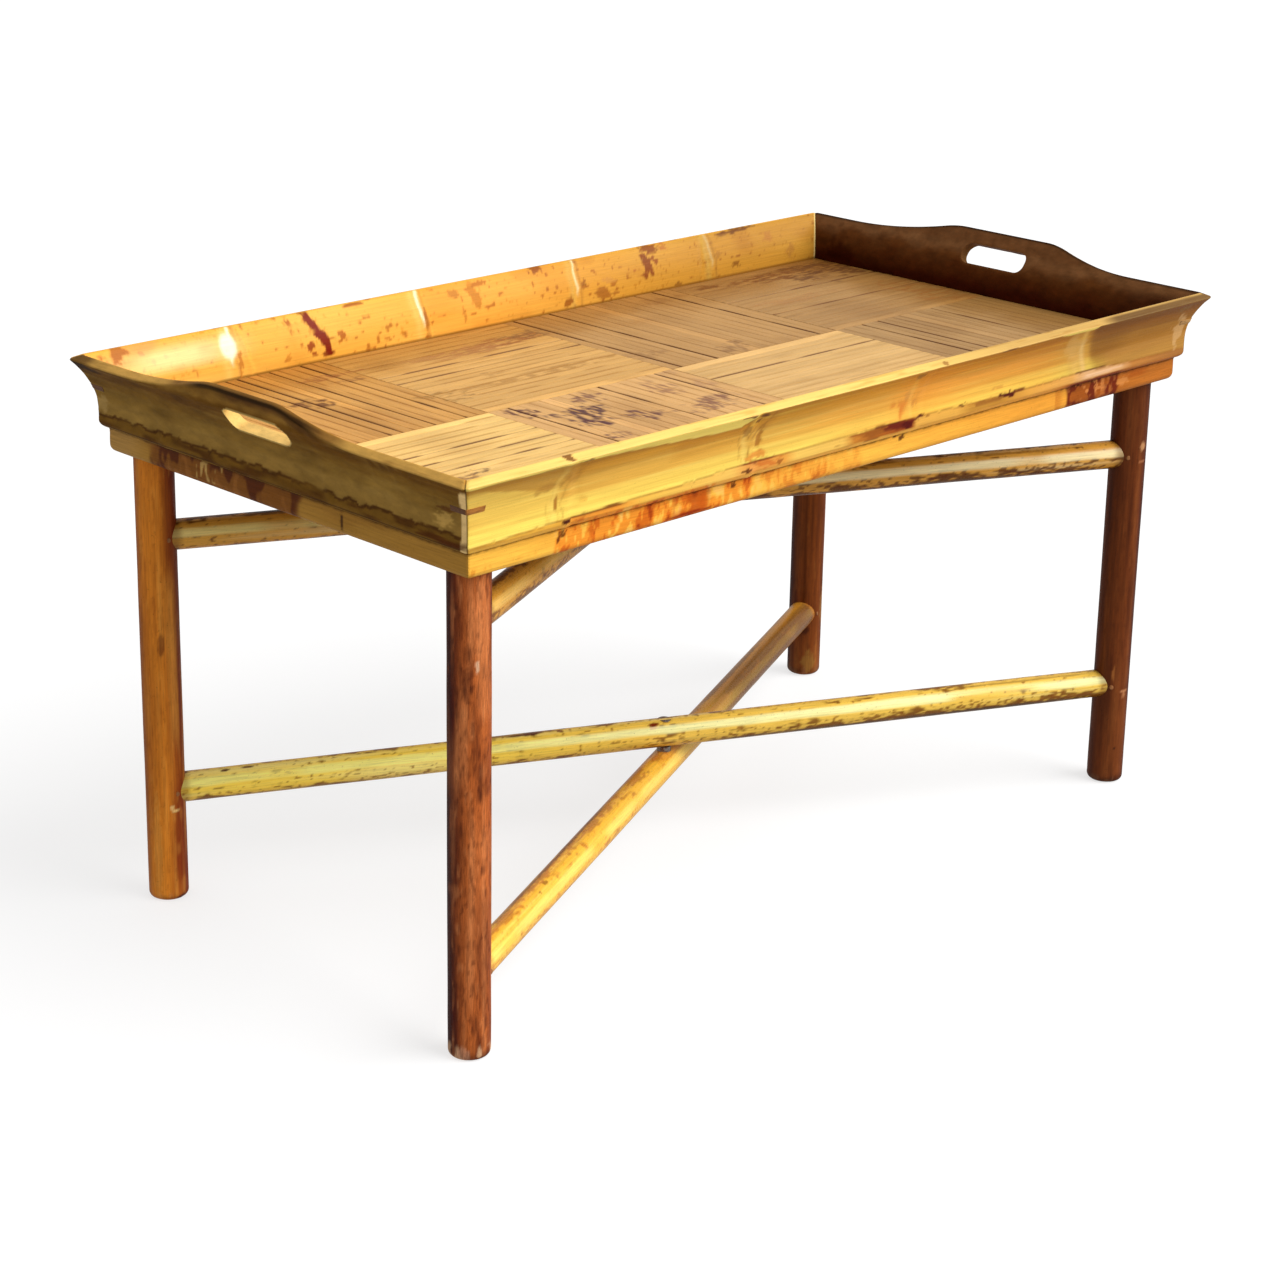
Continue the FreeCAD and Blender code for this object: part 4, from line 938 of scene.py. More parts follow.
def slot_cutter(side):
    """The hand slot's solid: a long hole with round corners, square to the sloping lip."""
    reach, _, (out_x, _) = PLACES[side]
    corner = np.linspace(0, math.pi / 2, 9)
    outline = []
    for x_sign, y_sign, start in ((1, 1, 0), (-1, 1, 1), (-1, -1, 2), (1, -1, 3)):
        for turn in corner + start * math.pi / 2:
            outline.append((x_sign * (SLOT_HALF - SLOT_CORNER) + SLOT_CORNER * math.cos(turn),
                            y_sign * (SLOT_HIGH - SLOT_CORNER) + SLOT_CORNER * math.sin(turn)))
    points = []
    for depth in SLOT_CUT:
        for aside, up in outline:
            flat = np.array([-LIP_WIDTH, LIP_TOP]) + (up - SLOT_DROP) * UPWARD + depth * ACROSS
            points.append(((reach + flat[0]) * out_x, aside, flat[1]))
    mesh = bpy.data.meshes.new("slot_cutter")
    faces = tube_faces(2, len(outline))
    if out_x < 0:
        faces = [face[::-1] for face in faces]
    mesh.from_pydata(points, [], faces)
    cutter = bpy.data.objects.new("slot_cutter", mesh)
    bpy.context.scene.collection.objects.link(cutter)
    return cutter


def face_shares(outward, height, rise=0.0):
    """How far each point belongs to the outer face, the lip and the inner face; rise is the handle's."""
    middle = (outer_face(np.clip(height, SIDE_FOOT, RIM)) + inner_face(height)) / 2
    over_lip = (height - LIP_TOP) * math.cos(LIP_TILT) + (outward + LIP_WIDTH) * math.sin(LIP_TILT)
    across = (outward + LIP_WIDTH) * math.cos(LIP_TILT) - (height - LIP_TOP) * math.sin(LIP_TILT)
    outward_side = np.where(over_lip > 0, across > HANDLE_THIN * 0.6, outward > middle)
    lip = fade(over_lip - rise, -0.0016, -0.0004)
    return outward_side * (1 - lip), lip, (1 - lip) * ~outward_side


def node_marks(coat, rings, share):
    """A node on an outer face: a wavy pale ridge between thin dark arcs that part towards the lip, a soft
    band of painted shade beside it.
    """
    spot = coat.spot
    along, _, height = spot.T
    for ring in rings:
        off = along - knot_lean(ring, height) + 0.0016 * waver(spot, (0.006, 0.01, 0.009), 81)
        parted = 1 + 1.4 * fade(height, 0.45, 0.475)
        coat.lay((250, 214, 112), bell(off, 0.003) * 0.6 * share * ring[1])
        # painted shade in the hollow beside the ridge
        soft = bell(off - 0.010 * parted, 0.006) * fade(height, 0.44, 0.462)
        coat.lay(ring[3], soft * 0.4 * share * ring[1])
        for shift, wide, weight in ((-0.006, 0.0008, 0.7), (0.0045, 0.0009, 0.85), (0.009, 0.0011, 0.9),
                                    (-0.0025, 0.0007, 0.45)):
            wander = 0.0012 * waver(spot, (0.005, 0.01, 0.005), 85 + int(shift * 4000))
            line = bell(off - shift * parted + wander, wide)
            broken = fade(waver(spot, (0.01, 0.01, 0.009), 83 + int(shift * 4000)), -0.55, 0.1)
            coat.lay(ring[3], line * broken * weight * share * ring[1])


def tones_along(along, laid_out):
    """A tone for each point, run together from pairs of a place along the board and its colour."""
    places = [place for place, _ in laid_out]
    tones = np.array([tone(*colour) for _, colour in laid_out])
    return np.stack([np.interp(along, places, tones[:, channel]) for channel in range(3)], axis=1)


# The front side's ragged foot line: place along the board and height
FOOT_LINE = ((-0.44, -0.34, -0.30, -0.25, -0.20, -0.16, -0.13, 0.0, 0.05, 0.10, 0.21, 0.30, 0.34, 0.43),
             (0.4245, 0.4276, 0.4272, 0.4290, 0.4302, 0.4325, 0.4325, 0.4312, 0.4325, 0.4312, 0.4306,
              0.4315, 0.4300, 0.4285))
# The lower edge of the pale band under its lip, in the same way
UNDER_LIP = ((-0.44, -0.345, -0.30, -0.25, -0.20, -0.166, -0.150, 0.22, 0.245, 0.28, 0.29),
             (0.4745, 0.4742, 0.4732, 0.4702, 0.4672, 0.4665, 0.4762, 0.4768, 0.474, 0.474, 0.478))
# Tones of the strip under the foot line, then of the skirt's skin under that, by place along the board
FOOT_STRIP = ((-0.44, (226, 176, 66)), (-0.35, (230, 170, 60)), (-0.335, (232, 146, 48)),
              (-0.29, (236, 150, 50)), (-0.26, (236, 184, 74)), (-0.165, (240, 190, 90)),
              (-0.145, (226, 150, 70)), (-0.105, (228, 156, 62)), (-0.09, (238, 192, 90)),
              (-0.035, (234, 186, 86)), (-0.02, (196, 124, 42)), (0.0, (180, 104, 30)),
              (0.03, (160, 78, 22)), (0.052, (150, 66, 18)), (0.058, (228, 168, 72)),
              (0.11, (228, 168, 70)), (0.13, (196, 138, 50)), (0.17, (190, 130, 44)),
              (0.21, (228, 162, 66)), (0.27, (224, 162, 80)), (0.29, (222, 170, 116)),
              (0.34, (222, 166, 106)), (0.36, (192, 124, 54)), (0.43, (170, 110, 50)))
FOOT_SKIN = ((-0.44, (244, 188, 74)), (-0.35, (242, 180, 70)), (-0.335, (238, 152, 52)),
             (-0.25, (236, 146, 48)), (-0.215, (214, 104, 24)), (-0.19, (206, 96, 20)),
             (-0.18, (246, 178, 76)), (0.0, (250, 186, 80)), (0.1, (244, 176, 70)),
             (0.24, (234, 158, 62)), (0.262, (206, 120, 44)), (0.27, (132, 48, 12)),
             (0.34, (124, 44, 10)), (0.352, (176, 98, 34)), (0.43, (176, 104, 44)))
# Marks on the front, and a painted highlight at the right mitre: place, height, half length, half height,
# colour, strength
FRONT_SCARS = [
    (-0.343, 0.4256, 0.0048, 0.0022, (70, 20, 4), 1.0),
    (-0.312, 0.4276, 0.026, 0.0016, (124, 64, 12), 0.9),
    (-0.326, 0.4244, 0.006, 0.0016, (184, 92, 22), 0.7),
    (-0.149, 0.4258, 0.005, 0.0018, (92, 40, 10), 0.95),
    (-0.138, 0.4320, 0.018, 0.0010, (120, 50, 14), 0.95),
    (-0.125, 0.4280, 0.014, 0.0030, (204, 108, 38), 0.75),
    (-0.110, 0.4268, 0.003, 0.0028, (150, 80, 24), 0.8),
    (0.004, 0.4276, 0.030, 0.0036, (146, 80, 22), 0.85),
    (0.034, 0.4288, 0.019, 0.0032, (104, 26, 8), 0.95), (0.046, 0.4276, 0.008, 0.0028, (84, 12, 4), 1.0),
    (0.020, 0.4314, 0.026, 0.0009, (100, 40, 10), 0.9), (0.063, 0.4318, 0.0048, 0.0018, (84, 20, 8), 1.0),
    (0.072, 0.4305, 0.003, 0.0012, (150, 90, 30), 0.8),
    (0.117, 0.4312, 0.004, 0.0016, (100, 56, 14), 0.95),
    (0.150, 0.4284, 0.017, 0.0022, (150, 92, 30), 0.8), (0.178, 0.4301, 0.010, 0.0026, (84, 20, 6), 1.0),
    (0.190, 0.4313, 0.021, 0.0009, (110, 50, 14), 0.9),
    (0.290, 0.4316, 0.022, 0.0010, (92, 52, 20), 0.85),
    (0.312, 0.4272, 0.030, 0.0014, (234, 188, 144), 0.8),
    (-0.354, 0.4430, 0.0016, 0.0055, (168, 106, 30), 0.85),
    (-0.325, 0.4400, 0.006, 0.0024, (232, 178, 72), 0.7),
    (-0.343, 0.4630, 0.008, 0.0100, (176, 116, 38), 0.35),
    (-0.368, 0.4580, 0.008, 0.0050, (190, 134, 52), 0.6),
    (-0.138, 0.4535, 0.0046, 0.0090, (170, 104, 30), 0.8),
    (-0.148, 0.4692, 0.003, 0.0018, (110, 60, 16), 0.9),
    (-0.143, 0.4735, 0.006, 0.0016, (110, 56, 16), 0.9),
    (-0.140, 0.4372, 0.010, 0.0036, (222, 132, 48), 0.75),
    (-0.155, 0.4620, 0.004, 0.0060, (156, 96, 30), 0.6),
    (-0.163, 0.4752, 0.009, 0.0012, (120, 56, 18), 0.9),
    (0.044, 0.4715, 0.008, 0.0030, (140, 86, 26), 0.7),
    (0.051, 0.4455, 0.003, 0.0050, (216, 140, 60), 0.7),
    (0.041, 0.4530, 0.003, 0.0040, (216, 144, 66), 0.6),
    (-0.352, 0.4792, 0.005, 0.0020, (120, 66, 20), 0.9),
    (-0.333, 0.4746, 0.006, 0.0010, (120, 70, 22), 0.8),
    (0.075, 0.4776, 0.003, 0.0012, (140, 84, 28), 0.7),
    (0.158, 0.4756, 0.012, 0.0010, (120, 66, 22), 0.8),
    (0.262, 0.4590, 0.014, 0.0100, (222, 170, 90), 0.5),
    (0.166, 0.4385, 0.008, 0.0014, (206, 140, 56), 0.6),
    # painted highlight on the edge of the right mitre
    (0.4250, 0.4470, 0.009, 0.0120, (214, 168, 110), 0.6),
    (0.4190, 0.4700, 0.007, 0.0040, (140, 104, 52), 0.5),
]


def front_coat(spot):
    """Yellow at the foot and darker in bands of painted shade towards the lip, dull at the right; scorched
    at the nodes.
    """
    along, outward, height = spot.T
    outside, lip, inside = face_shares(outward, height)
    coat = Coat(spot, (244, 200, 88))
    # painted shade under the flaring lip: the outer face darkens in bands towards it, and at the left
    # corner
    band = height + 0.0016 * waver(spot, (0.09, 0.03, 0.05), 101)
    band = band + 0.0006 * waver(spot, (0.02, 0.01, 0.01), 100)
    past_node = fade(along, -0.36, -0.345)
    coat.lay((234, 174, 70), fade(band, 0.4443, 0.4463) * 0.85 * past_node * outside)
    coat.lay((206, 148, 54), fade(band, 0.458, 0.4605) * 0.8 * past_node * outside)
    corner_dark = height - np.interp(along, (-0.44, -0.40, -0.36), (0.470, 0.461, 0.4545))
    corner_dark = fade(corner_dark + 0.0015 * waver(spot, (0.01, 0.01, 0.004), 99), -0.0005, 0.0015)
    coat.lay((204, 148, 56), corner_dark * 0.9 * (1 - past_node) * outside)
    coat.lay((186, 128, 34), fade(band, 0.466, 0.472) * 0.75 * outside)
    warm = near(along, 0.08, 0.2, 0.1) * near(band, 0.455, 0.009, 0.003)
    coat.lay((246, 176, 70), warm * 0.7 * outside)
    coat.lay((252, 222, 100), fade(band, 0.4445, 0.434) * 0.85 * outside)
    streak = waver(spot, (0.12, 0.02, 0.0022), 103)
    coat.lay((214, 156, 60), fade(streak, 0.2, 0.8) * 0.4 * outside)
    coat.lay((252, 222, 112), fade(streak, -0.3, -0.8) * 0.35 * outside)
    coat.lay((240, 160, 56), near(along, 0.02, 0.13, 0.02) * 0.35 * outside)
    cells = waver(spot, (0.006, 0.01, 0.009), 104) + 0.5 * waver(spot, (0.002, 0.01, 0.004), 106)
    glow = fade(np.abs(along - 0.027 - 0.45 * (height - 0.437)), 0.017, 0.006) * fade(height, 0.458, 0.440)
    coat.lay((214, 108, 34), glow * fade(cells, -0.1, 0.35) * 0.75 * outside)
    coat.tint((1.06, 0.92, 0.8), near(along, 0.14, 0.14, 0.08) * outside)
    left_of_node = near(along, -0.195, 0.05, 0.03) * fade(height, 0.447, 0.455)
    coat.tint((0.92, 0.82, 0.66), left_of_node * 0.8 * outside)
    coat.tint((0.7, 0.62, 0.56), fade(along, 0.05, 0.4) * outside)
    off_node = along - 0.270 - 0.4 * (0.472 - height)
    coat.tint((0.68, 0.60, 0.52), fade(off_node, 0.006, 0.022) * outside)
    node_marks(coat, FRONT_MARKS, outside)
    coat.lay((220, 168, 88), near(off_node, -0.008, 0.018, 0.005) * 0.5 * outside)
    coat.lay((234, 190, 112), bell(off_node, 0.003) * 0.75 * outside)
    # painted shade in the hollow right of the node's ridge, and darker towards the lip
    beside = fade(off_node, 0.008, 0.016) * fade(along, 0.36, 0.315)
    coat.lay((140, 88, 26), beside * fade(height, 0.436, 0.446) * 0.6 * outside)
    coat.lay((128, 78, 14), fade(off_node, 0.008, 0.02) * fade(height, 0.462, 0.471) * 0.6 * outside)
    coat.tint((1.08, 0.98, 0.6), fade(height, 0.459, 0.466) * fade(along, -0.35, -0.33) * outside)
    dull = fade(along, 0.295, 0.33) * fade(height, 0.447, 0.443)
    coat.lay((182, 124, 56), dull * 0.7 * outside)
    coat.lay((246, 204, 110), lip)
    coat.lay((204, 162, 88), lip * fade(along, -0.02, 0.2))
    coat.lay((92, 58, 24), lip * fade(along, 0.285, 0.315) * fade(height, 0.4802, 0.4790) * 0.85)
    fibres = coat.patch((0.02, 0.002, 0.002), 105, 0.2, 0.8)
    coat.tint((0.8, 0.7, 0.55), lip * fibres * 0.8)
    under = height - np.interp(along, *UNDER_LIP)
    under = under + 0.0004 * waver(spot, (0.012, 0.01, 0.002), 98)
    # painted shadow just under the pale band below the lip
    coat.lay((172, 114, 34), fade(under, -0.004, -0.0006) * 0.5 * outside * fade(along, 0.28, 0.2))
    coat.lay((255, 224, 108), fade(under, -0.0004, 0.0004) * outside)
    joint = height - np.interp(along, *FOOT_LINE)
    joint = joint + 0.0007 * waver(spot, (0.014, 0.03, 0.03), 109)
    joint = joint + 0.0004 * waver(spot, (0.003, 0.01, 0.01), 110)
    coat.tones = brush(coat.tones, tones_along(along, FOOT_STRIP), fade(joint, 0.0003, -0.0005) * outside)
    coat.lay((150, 88, 24), fade(np.abs(joint), 0.0010, 0.0004) * 0.6 * outside)
    lower = height + 0.0006 * waver(spot, (0.01, 0.03, 0.03), 111)
    coat.tones = brush(coat.tones, tones_along(along, FOOT_SKIN), fade(lower, 0.4238, 0.4230) * outside)
    unburnt = coat.tones
    tortoiseshell(coat, -0.337, -0.184, 0.9, 63)
    coat.tones = brush(unburnt, coat.tones, fade(lower, 0.4238, 0.4230) * outside)
    coat.lay((184, 116, 36), near(lower, 0.4232, 0.0008, 0.0003) * 0.5 * outside)
    for place, up, wide, tall, colour, weight in FRONT_SCARS:
        mark = blot(along, height, (place, up), (wide, tall), 0.6, 113)
        coat.lay(colour, mark * weight * (outside + lip))
    inner_skin(coat, FRONT_INNER_RINGS, inside)
    mitre_line(coat, HALF_LENGTH)
    return coat


def inner_skin(coat, rings, share):
    """The culm's own skin, turned inwards: golden and speckled, with painted highlights as pale lines on
    its nodes.
    """
    spot = coat.spot
    along, _, height = spot.T
    coat.lay((234, 158, 52), share)
    coat.lay((244, 172, 66), share * coat.patch((0.1, 0.03, 0.02), 121, -0.1, 0.7) * 0.7)
    coat.lay((206, 126, 34), share * coat.patch((0.03, 0.02, 0.02), 122, 0.35, 0.95) * 0.5)
    speck = waver(spot, (0.004, 0.004, 0.004), 123) + 0.4 * waver(spot, (0.05, 0.05, 0.05), 124)
    coat.lay((166, 82, 10), share * fade(speck, 0.6, 0.9) * 0.75)
    fine = waver(spot, (0.0016, 0.0016, 0.0022), 125) + 0.5 * waver(spot, (0.03, 0.03, 0.03), 126)
    coat.lay((196, 116, 20), share * fade(fine, 0.6, 0.95) * 0.6)
    for ring in rings:
        off = along - knot_lean(ring, height)
        # painted highlight on each node's ridge
        pale = bell(off, 0.0016)
        coat.lay((255, 238, 180), pale * share * ring[1] * fade(height, 0.446, 0.458) * 0.9)
        coat.lay((176, 112, 44), bell(off - 0.005, 0.0014) * share * 0.5)
        coat.lay((236, 190, 90), bell(off + 0.006, 0.004) * share * 0.4)


def mitre_line(coat, half):
    """The dark glue line where two boards meet."""
    along, outward, _ = coat.spot.T
    gap = half + outward - np.abs(along)
    coat.lay((84, 52, 20), fade(gap, 0.0012, 0.0003) * 0.7)


# Marks on the back's inner face: place, height, half length, half height, colour
BACK_SCARS = [
    (-0.188, 0.4565, 0.004, 0.004, (170, 90, 16)), (-0.2225, 0.451, 0.004, 0.0045, (140, 50, 4)),
    (-0.205, 0.4445, 0.007, 0.0030, (116, 24, 0)), (-0.417, 0.4755, 0.009, 0.0045, (170, 96, 30)),
    (-0.2985, 0.4520, 0.0016, 0.0085, (190, 120, 40)), (-0.241, 0.4745, 0.0022, 0.002, (170, 90, 20)),
    (-0.248, 0.4460, 0.003, 0.0030, (200, 130, 40)), (-0.0905, 0.4550, 0.0014, 0.0085, (170, 100, 24)),
    (-0.029, 0.4665, 0.0045, 0.0070, (196, 122, 30)), (-0.045, 0.4530, 0.002, 0.0050, (196, 126, 40)),
    (-0.052, 0.4720, 0.004, 0.0030, (190, 120, 34)), (-0.018, 0.4760, 0.006, 0.0020, (180, 104, 24)),
    (-0.160, 0.4785, 0.010, 0.0012, (160, 84, 16)), (-0.137, 0.4460, 0.004, 0.0012, (190, 120, 40)),
    (0.052, 0.4785, 0.005, 0.0030, (140, 70, 10)), (0.083, 0.4455, 0.005, 0.0030, (150, 84, 20)),
    (0.132, 0.4450, 0.010, 0.0050, (160, 96, 28)), (0.138, 0.4570, 0.006, 0.0020, (196, 136, 56)),
    (0.198, 0.4780, 0.009, 0.0038, (130, 64, 10)), (0.193, 0.4610, 0.0055, 0.0080, (124, 54, 4)),
    (0.203, 0.4670, 0.003, 0.0024, (140, 70, 14)), (0.220, 0.4770, 0.006, 0.0020, (180, 110, 40)),
    (0.175, 0.4610, 0.004, 0.0010, (170, 100, 34)), (0.327, 0.4795, 0.019, 0.0026, (104, 56, 16)),
    (0.313, 0.4490, 0.004, 0.0020, (130, 80, 20)), (0.365, 0.4690, 0.005, 0.0040, (176, 116, 44)),
    (0.393, 0.4510, 0.004, 0.0050, (170, 116, 44)), (0.107, 0.4590, 0.002, 0.0030, (150, 90, 20)),
    (0.292, 0.4600, 0.003, 0.0040, (170, 116, 40)), (0.232, 0.4400, 0.004, 0.0020, (140, 90, 26)),
]


def back_coat(spot):
    """Its inner face shows: pale and bright at the left, orange and dimmer to the right, with scorches."""
    along, outward, height = spot.T
    outside, lip, inside = face_shares(outward, height)
    coat = Coat(spot, (232, 180, 70))
    band = height + 0.003 * waver(spot, (0.09, 0.03, 0.05), 131)
    coat.lay((206, 148, 56), fade(band, 0.452, 0.47) * 0.85 * outside)
    streak = waver(spot, (0.12, 0.02, 0.0022), 133)
    coat.lay((196, 140, 50), fade(streak, 0.1, 0.8) * 0.5 * outside)
    node_marks(coat, BACK_OUTER_RINGS, outside)
    joint = height + 0.0018 * waver(spot, (0.009, 0.03, 0.03), 139)
    coat.lay((130, 80, 30), fade(joint, 0.4245, 0.4205) * 0.75 * outside)
    coat.lay((222, 160, 58), lip)
    coat.lay((120, 62, 18), lip * coat.patch((0.012, 0.002, 0.002), 135, 0.35, 0.8) * 0.8)
    inner_skin(coat, BACK_RINGS, inside)
    coat.tint((0.60, 0.60, 0.58), inside * fade(along, -0.14, 0.36))
    coat.tint((1.0, 1.16, 1.5), inside * fade(along, -0.02, -0.16) * fade(height, 0.458, 0.445))
    coat.tint((1.0, 1.2, 1.55), inside * fade(along, -0.08, -0.10) * fade(height, 0.445, 0.458))
    coat.tint((1.0, 1.12, 1.2), inside * fade(along, -0.05, 0.2))
    pale = near(along, -0.36, 0.09, 0.01) * near(height, 0.465, 0.014, 0.002)
    coat.lay((255, 242, 176), inside * pale * 0.6)
    hollow = fade(along, -0.24, -0.40) * fade(height, 0.452, 0.438)
    coat.lay((246, 206, 108), hollow * inside * 0.7)
    cloudy = coat.patch((0.03, 0.02, 0.012), 134, 0.1, 0.7)
    cloudy = cloudy * fade(along, -0.30, -0.36) * fade(height, 0.44, 0.455)
    coat.lay((222, 146, 84), cloudy * inside * 0.55)
    # painted highlight on the node at the left
    bright = fade(np.hypot((along + 0.308) / 0.0095, (height - 0.4655) / 0.0115), 1.1, 0.6)
    coat.lay((255, 250, 214), inside * bright * 0.95)
    lean = along + 0.2125 + (height - 0.463) * 0.6
    burn = np.abs(lean) + 0.004 * waver(spot, (0.006, 0.006, 0.006), 137)
    scorch = fade(burn, 0.0055, 0.003) * coat.patch((0.006, 0.01, 0.008), 138, -0.55, -0.1)
    coat.lay((124, 34, 0), scorch * inside * fade(height, 0.440, 0.443))
    seam = HALF_LENGTH + outward - along
    coat.lay((255, 226, 150), fade(seam, 0.003, 0.0016) * inside * fade(along, 0.3, 0.35) * 0.8)
    coat.lay((120, 74, 20), fade(height, 0.4406, 0.4396) * inside * 0.75)
    for place, up, wide, tall, colour in BACK_SCARS:
        mark = blot(along, height, (place, up), (wide * 1.25, tall * 1.25), 0.7, 141)
        coat.lay(colour, mark * 0.9 * (inside + lip * 0.8))
    mitre_line(coat, HALF_LENGTH)
    return coat


# Marks on the left end: place, height, half length, half height, colour, strength, seed
LEFT_SCARS = [
    (-0.206, 0.4425, 0.013, 0.006, (214, 170, 88), 0.7, 158),
    (0.224, 0.441, 0.010, 0.007, (188, 152, 88), 0.6, 142),
    (0.228, 0.473, 0.022, 0.006, (44, 22, 6), 0.85, 143),
    (-0.21, 0.451, 0.012, 0.003, (92, 44, 10), 0.7, 146),
    (-0.21, 0.426, 0.03, 0.003, (84, 38, 8), 0.8, 148),
]


def left_coat(spot):
    """Dull olive brown, clouded, with painted shade under the lip and the handle's top, a paler lip and a
    ragged dark foot of painted shade and dirt.
    """
    along, outward, height = spot.T
    rise = handle_rise(along, *LEFT_HANDLE)
    outside, lip, inside = face_shares(outward, height, rise)
    band = height + 0.003 * waver(spot, (0.05, 0.03, 0.05), 156)
    band = band + 0.0015 * waver(spot, (0.012, 0.01, 0.01), 145)
    coat = Coat(spot, (154, 118, 54))
    # painted shade under the lip: darker bands towards it
    coat.lay((142, 106, 42), fade(band, 0.442, 0.450) * outside)
    coat.lay((130, 92, 28), fade(band, 0.454, 0.461) * outside)
    coat.lay((112, 72, 12), fade(band, 0.464, 0.470) * 0.95 * outside)
    coat.lay((146, 104, 40), fade(band, 0.4765, 0.482) * outside)
    cloud = waver(spot, (0.045, 0.02, 0.016), 151) + 0.5 * waver(spot, (0.014, 0.01, 0.008), 150)
    coat.tint((1.3, 1.35, 1.5), fade(cloud, 0.1, 0.9) * 0.7 * outside)
    coat.tint((0.62, 0.58, 0.5), fade(cloud, -0.05, -0.9) * 0.7 * outside)
    fibre = waver(spot, (0.05, 0.02, 0.0022), 152)
    coat.lay((168, 130, 60), fade(fibre, 0.3, 0.8) * 0.25 * outside)
    tear = fade(np.abs(along + 0.135 + (height - 0.45) * 0.6), 0.03, 0.01)
    tear = tear * coat.patch((0.006, 0.02, 0.02), 149, 0.1, 0.5)
    coat.lay((164, 124, 56), tear * 0.35 * outside)
    # the ragged dark foot: painted shade under the foot's rounding, with dirt
    joint = height + 0.003 * waver(spot, (0.012, 0.03, 0.03), 153)
    joint = joint + 0.002 * waver(spot, (0.004, 0.01, 0.01), 154)
    coat.lay((164, 126, 58), near(joint, 0.438, 0.006, 0.002) * 0.45 * outside)
    coat.lay((118, 80, 18), fade(joint, 0.4338, 0.4326) * 0.85 * outside)
    ragged = near(joint, 0.4322, 0.0018, 0.0006)
    ragged = ragged * coat.patch((0.03, 0.03, 0.03), 155, -0.6, -0.2)
    coat.lay((76, 40, 8), ragged * 0.85 * outside)
    patchy = coat.patch((0.02, 0.03, 0.004), 144, -0.1, 0.5) * fade(joint, 0.432, 0.4305)
    coat.lay((80, 42, 8), patchy * 0.75 * outside)
    coat.lay((60, 30, 6), near(height, 0.4222, 0.0010, 0.0004) * 0.7 * outside)
    coat.lay((160, 122, 56), fade(height, 0.4212, 0.4206) * 0.5 * outside)
    strip = HALF_WIDTH + outward + along
    cream = fade(strip + 0.0026 * waver(spot, (0.02, 0.02, 0.008), 157), 0.0082, 0.0066)
    cream = cream * fade(height, 0.474, 0.469)
    coat.lay((252, 212, 142), cream * outside * 0.9)
    for place, up, wide, tall, colour, weight, seed in LEFT_SCARS:
        mark = blot(along, height, (place, up), (wide, tall), 0.5, seed)
        coat.lay(colour, mark * weight * outside)
    coat.lay((188, 144, 70), lip)
    coat.lay((132, 92, 40), lip * fade(np.abs(along), 0.12, 0.09) * 0.9)
    coat.lay((112, 72, 28), lip * coat.patch((0.02, 0.003, 0.003), 159, 0.3, 0.8) * 0.5)
    coat.lay((74, 44, 16), lip * fade(along, 0.205, 0.225) * 0.8)
    # painted shade with scorch marks just under the handle's top
    under = LIP_TOP - 0.002 + rise * math.cos(LIP_TILT) - height
    span = fade(along, 0.05, 0.02) * fade(along, -0.1, -0.07)
    shade_and_scorch = under + 0.002 * waver(spot, (0.01, 0.01, 0.01), 147)
    coat.lay((84, 50, 20), fade(shade_and_scorch, 0.009, 0.004) * span * 0.8 * (outside + lip * 0.4))
    coat.lay((30, 16, 6), near(under, 0.0012, 0.0022, 0.0008) * fade(along, 0.09, 0.06)
             * fade(along, -0.09, -0.06) * 0.85 * (outside + lip))
    inner_skin(coat, [], inside)
    slot_walls(coat, (244, 206, 124), 0.95)
    mitre_line(coat, HALF_WIDTH)
    return coat


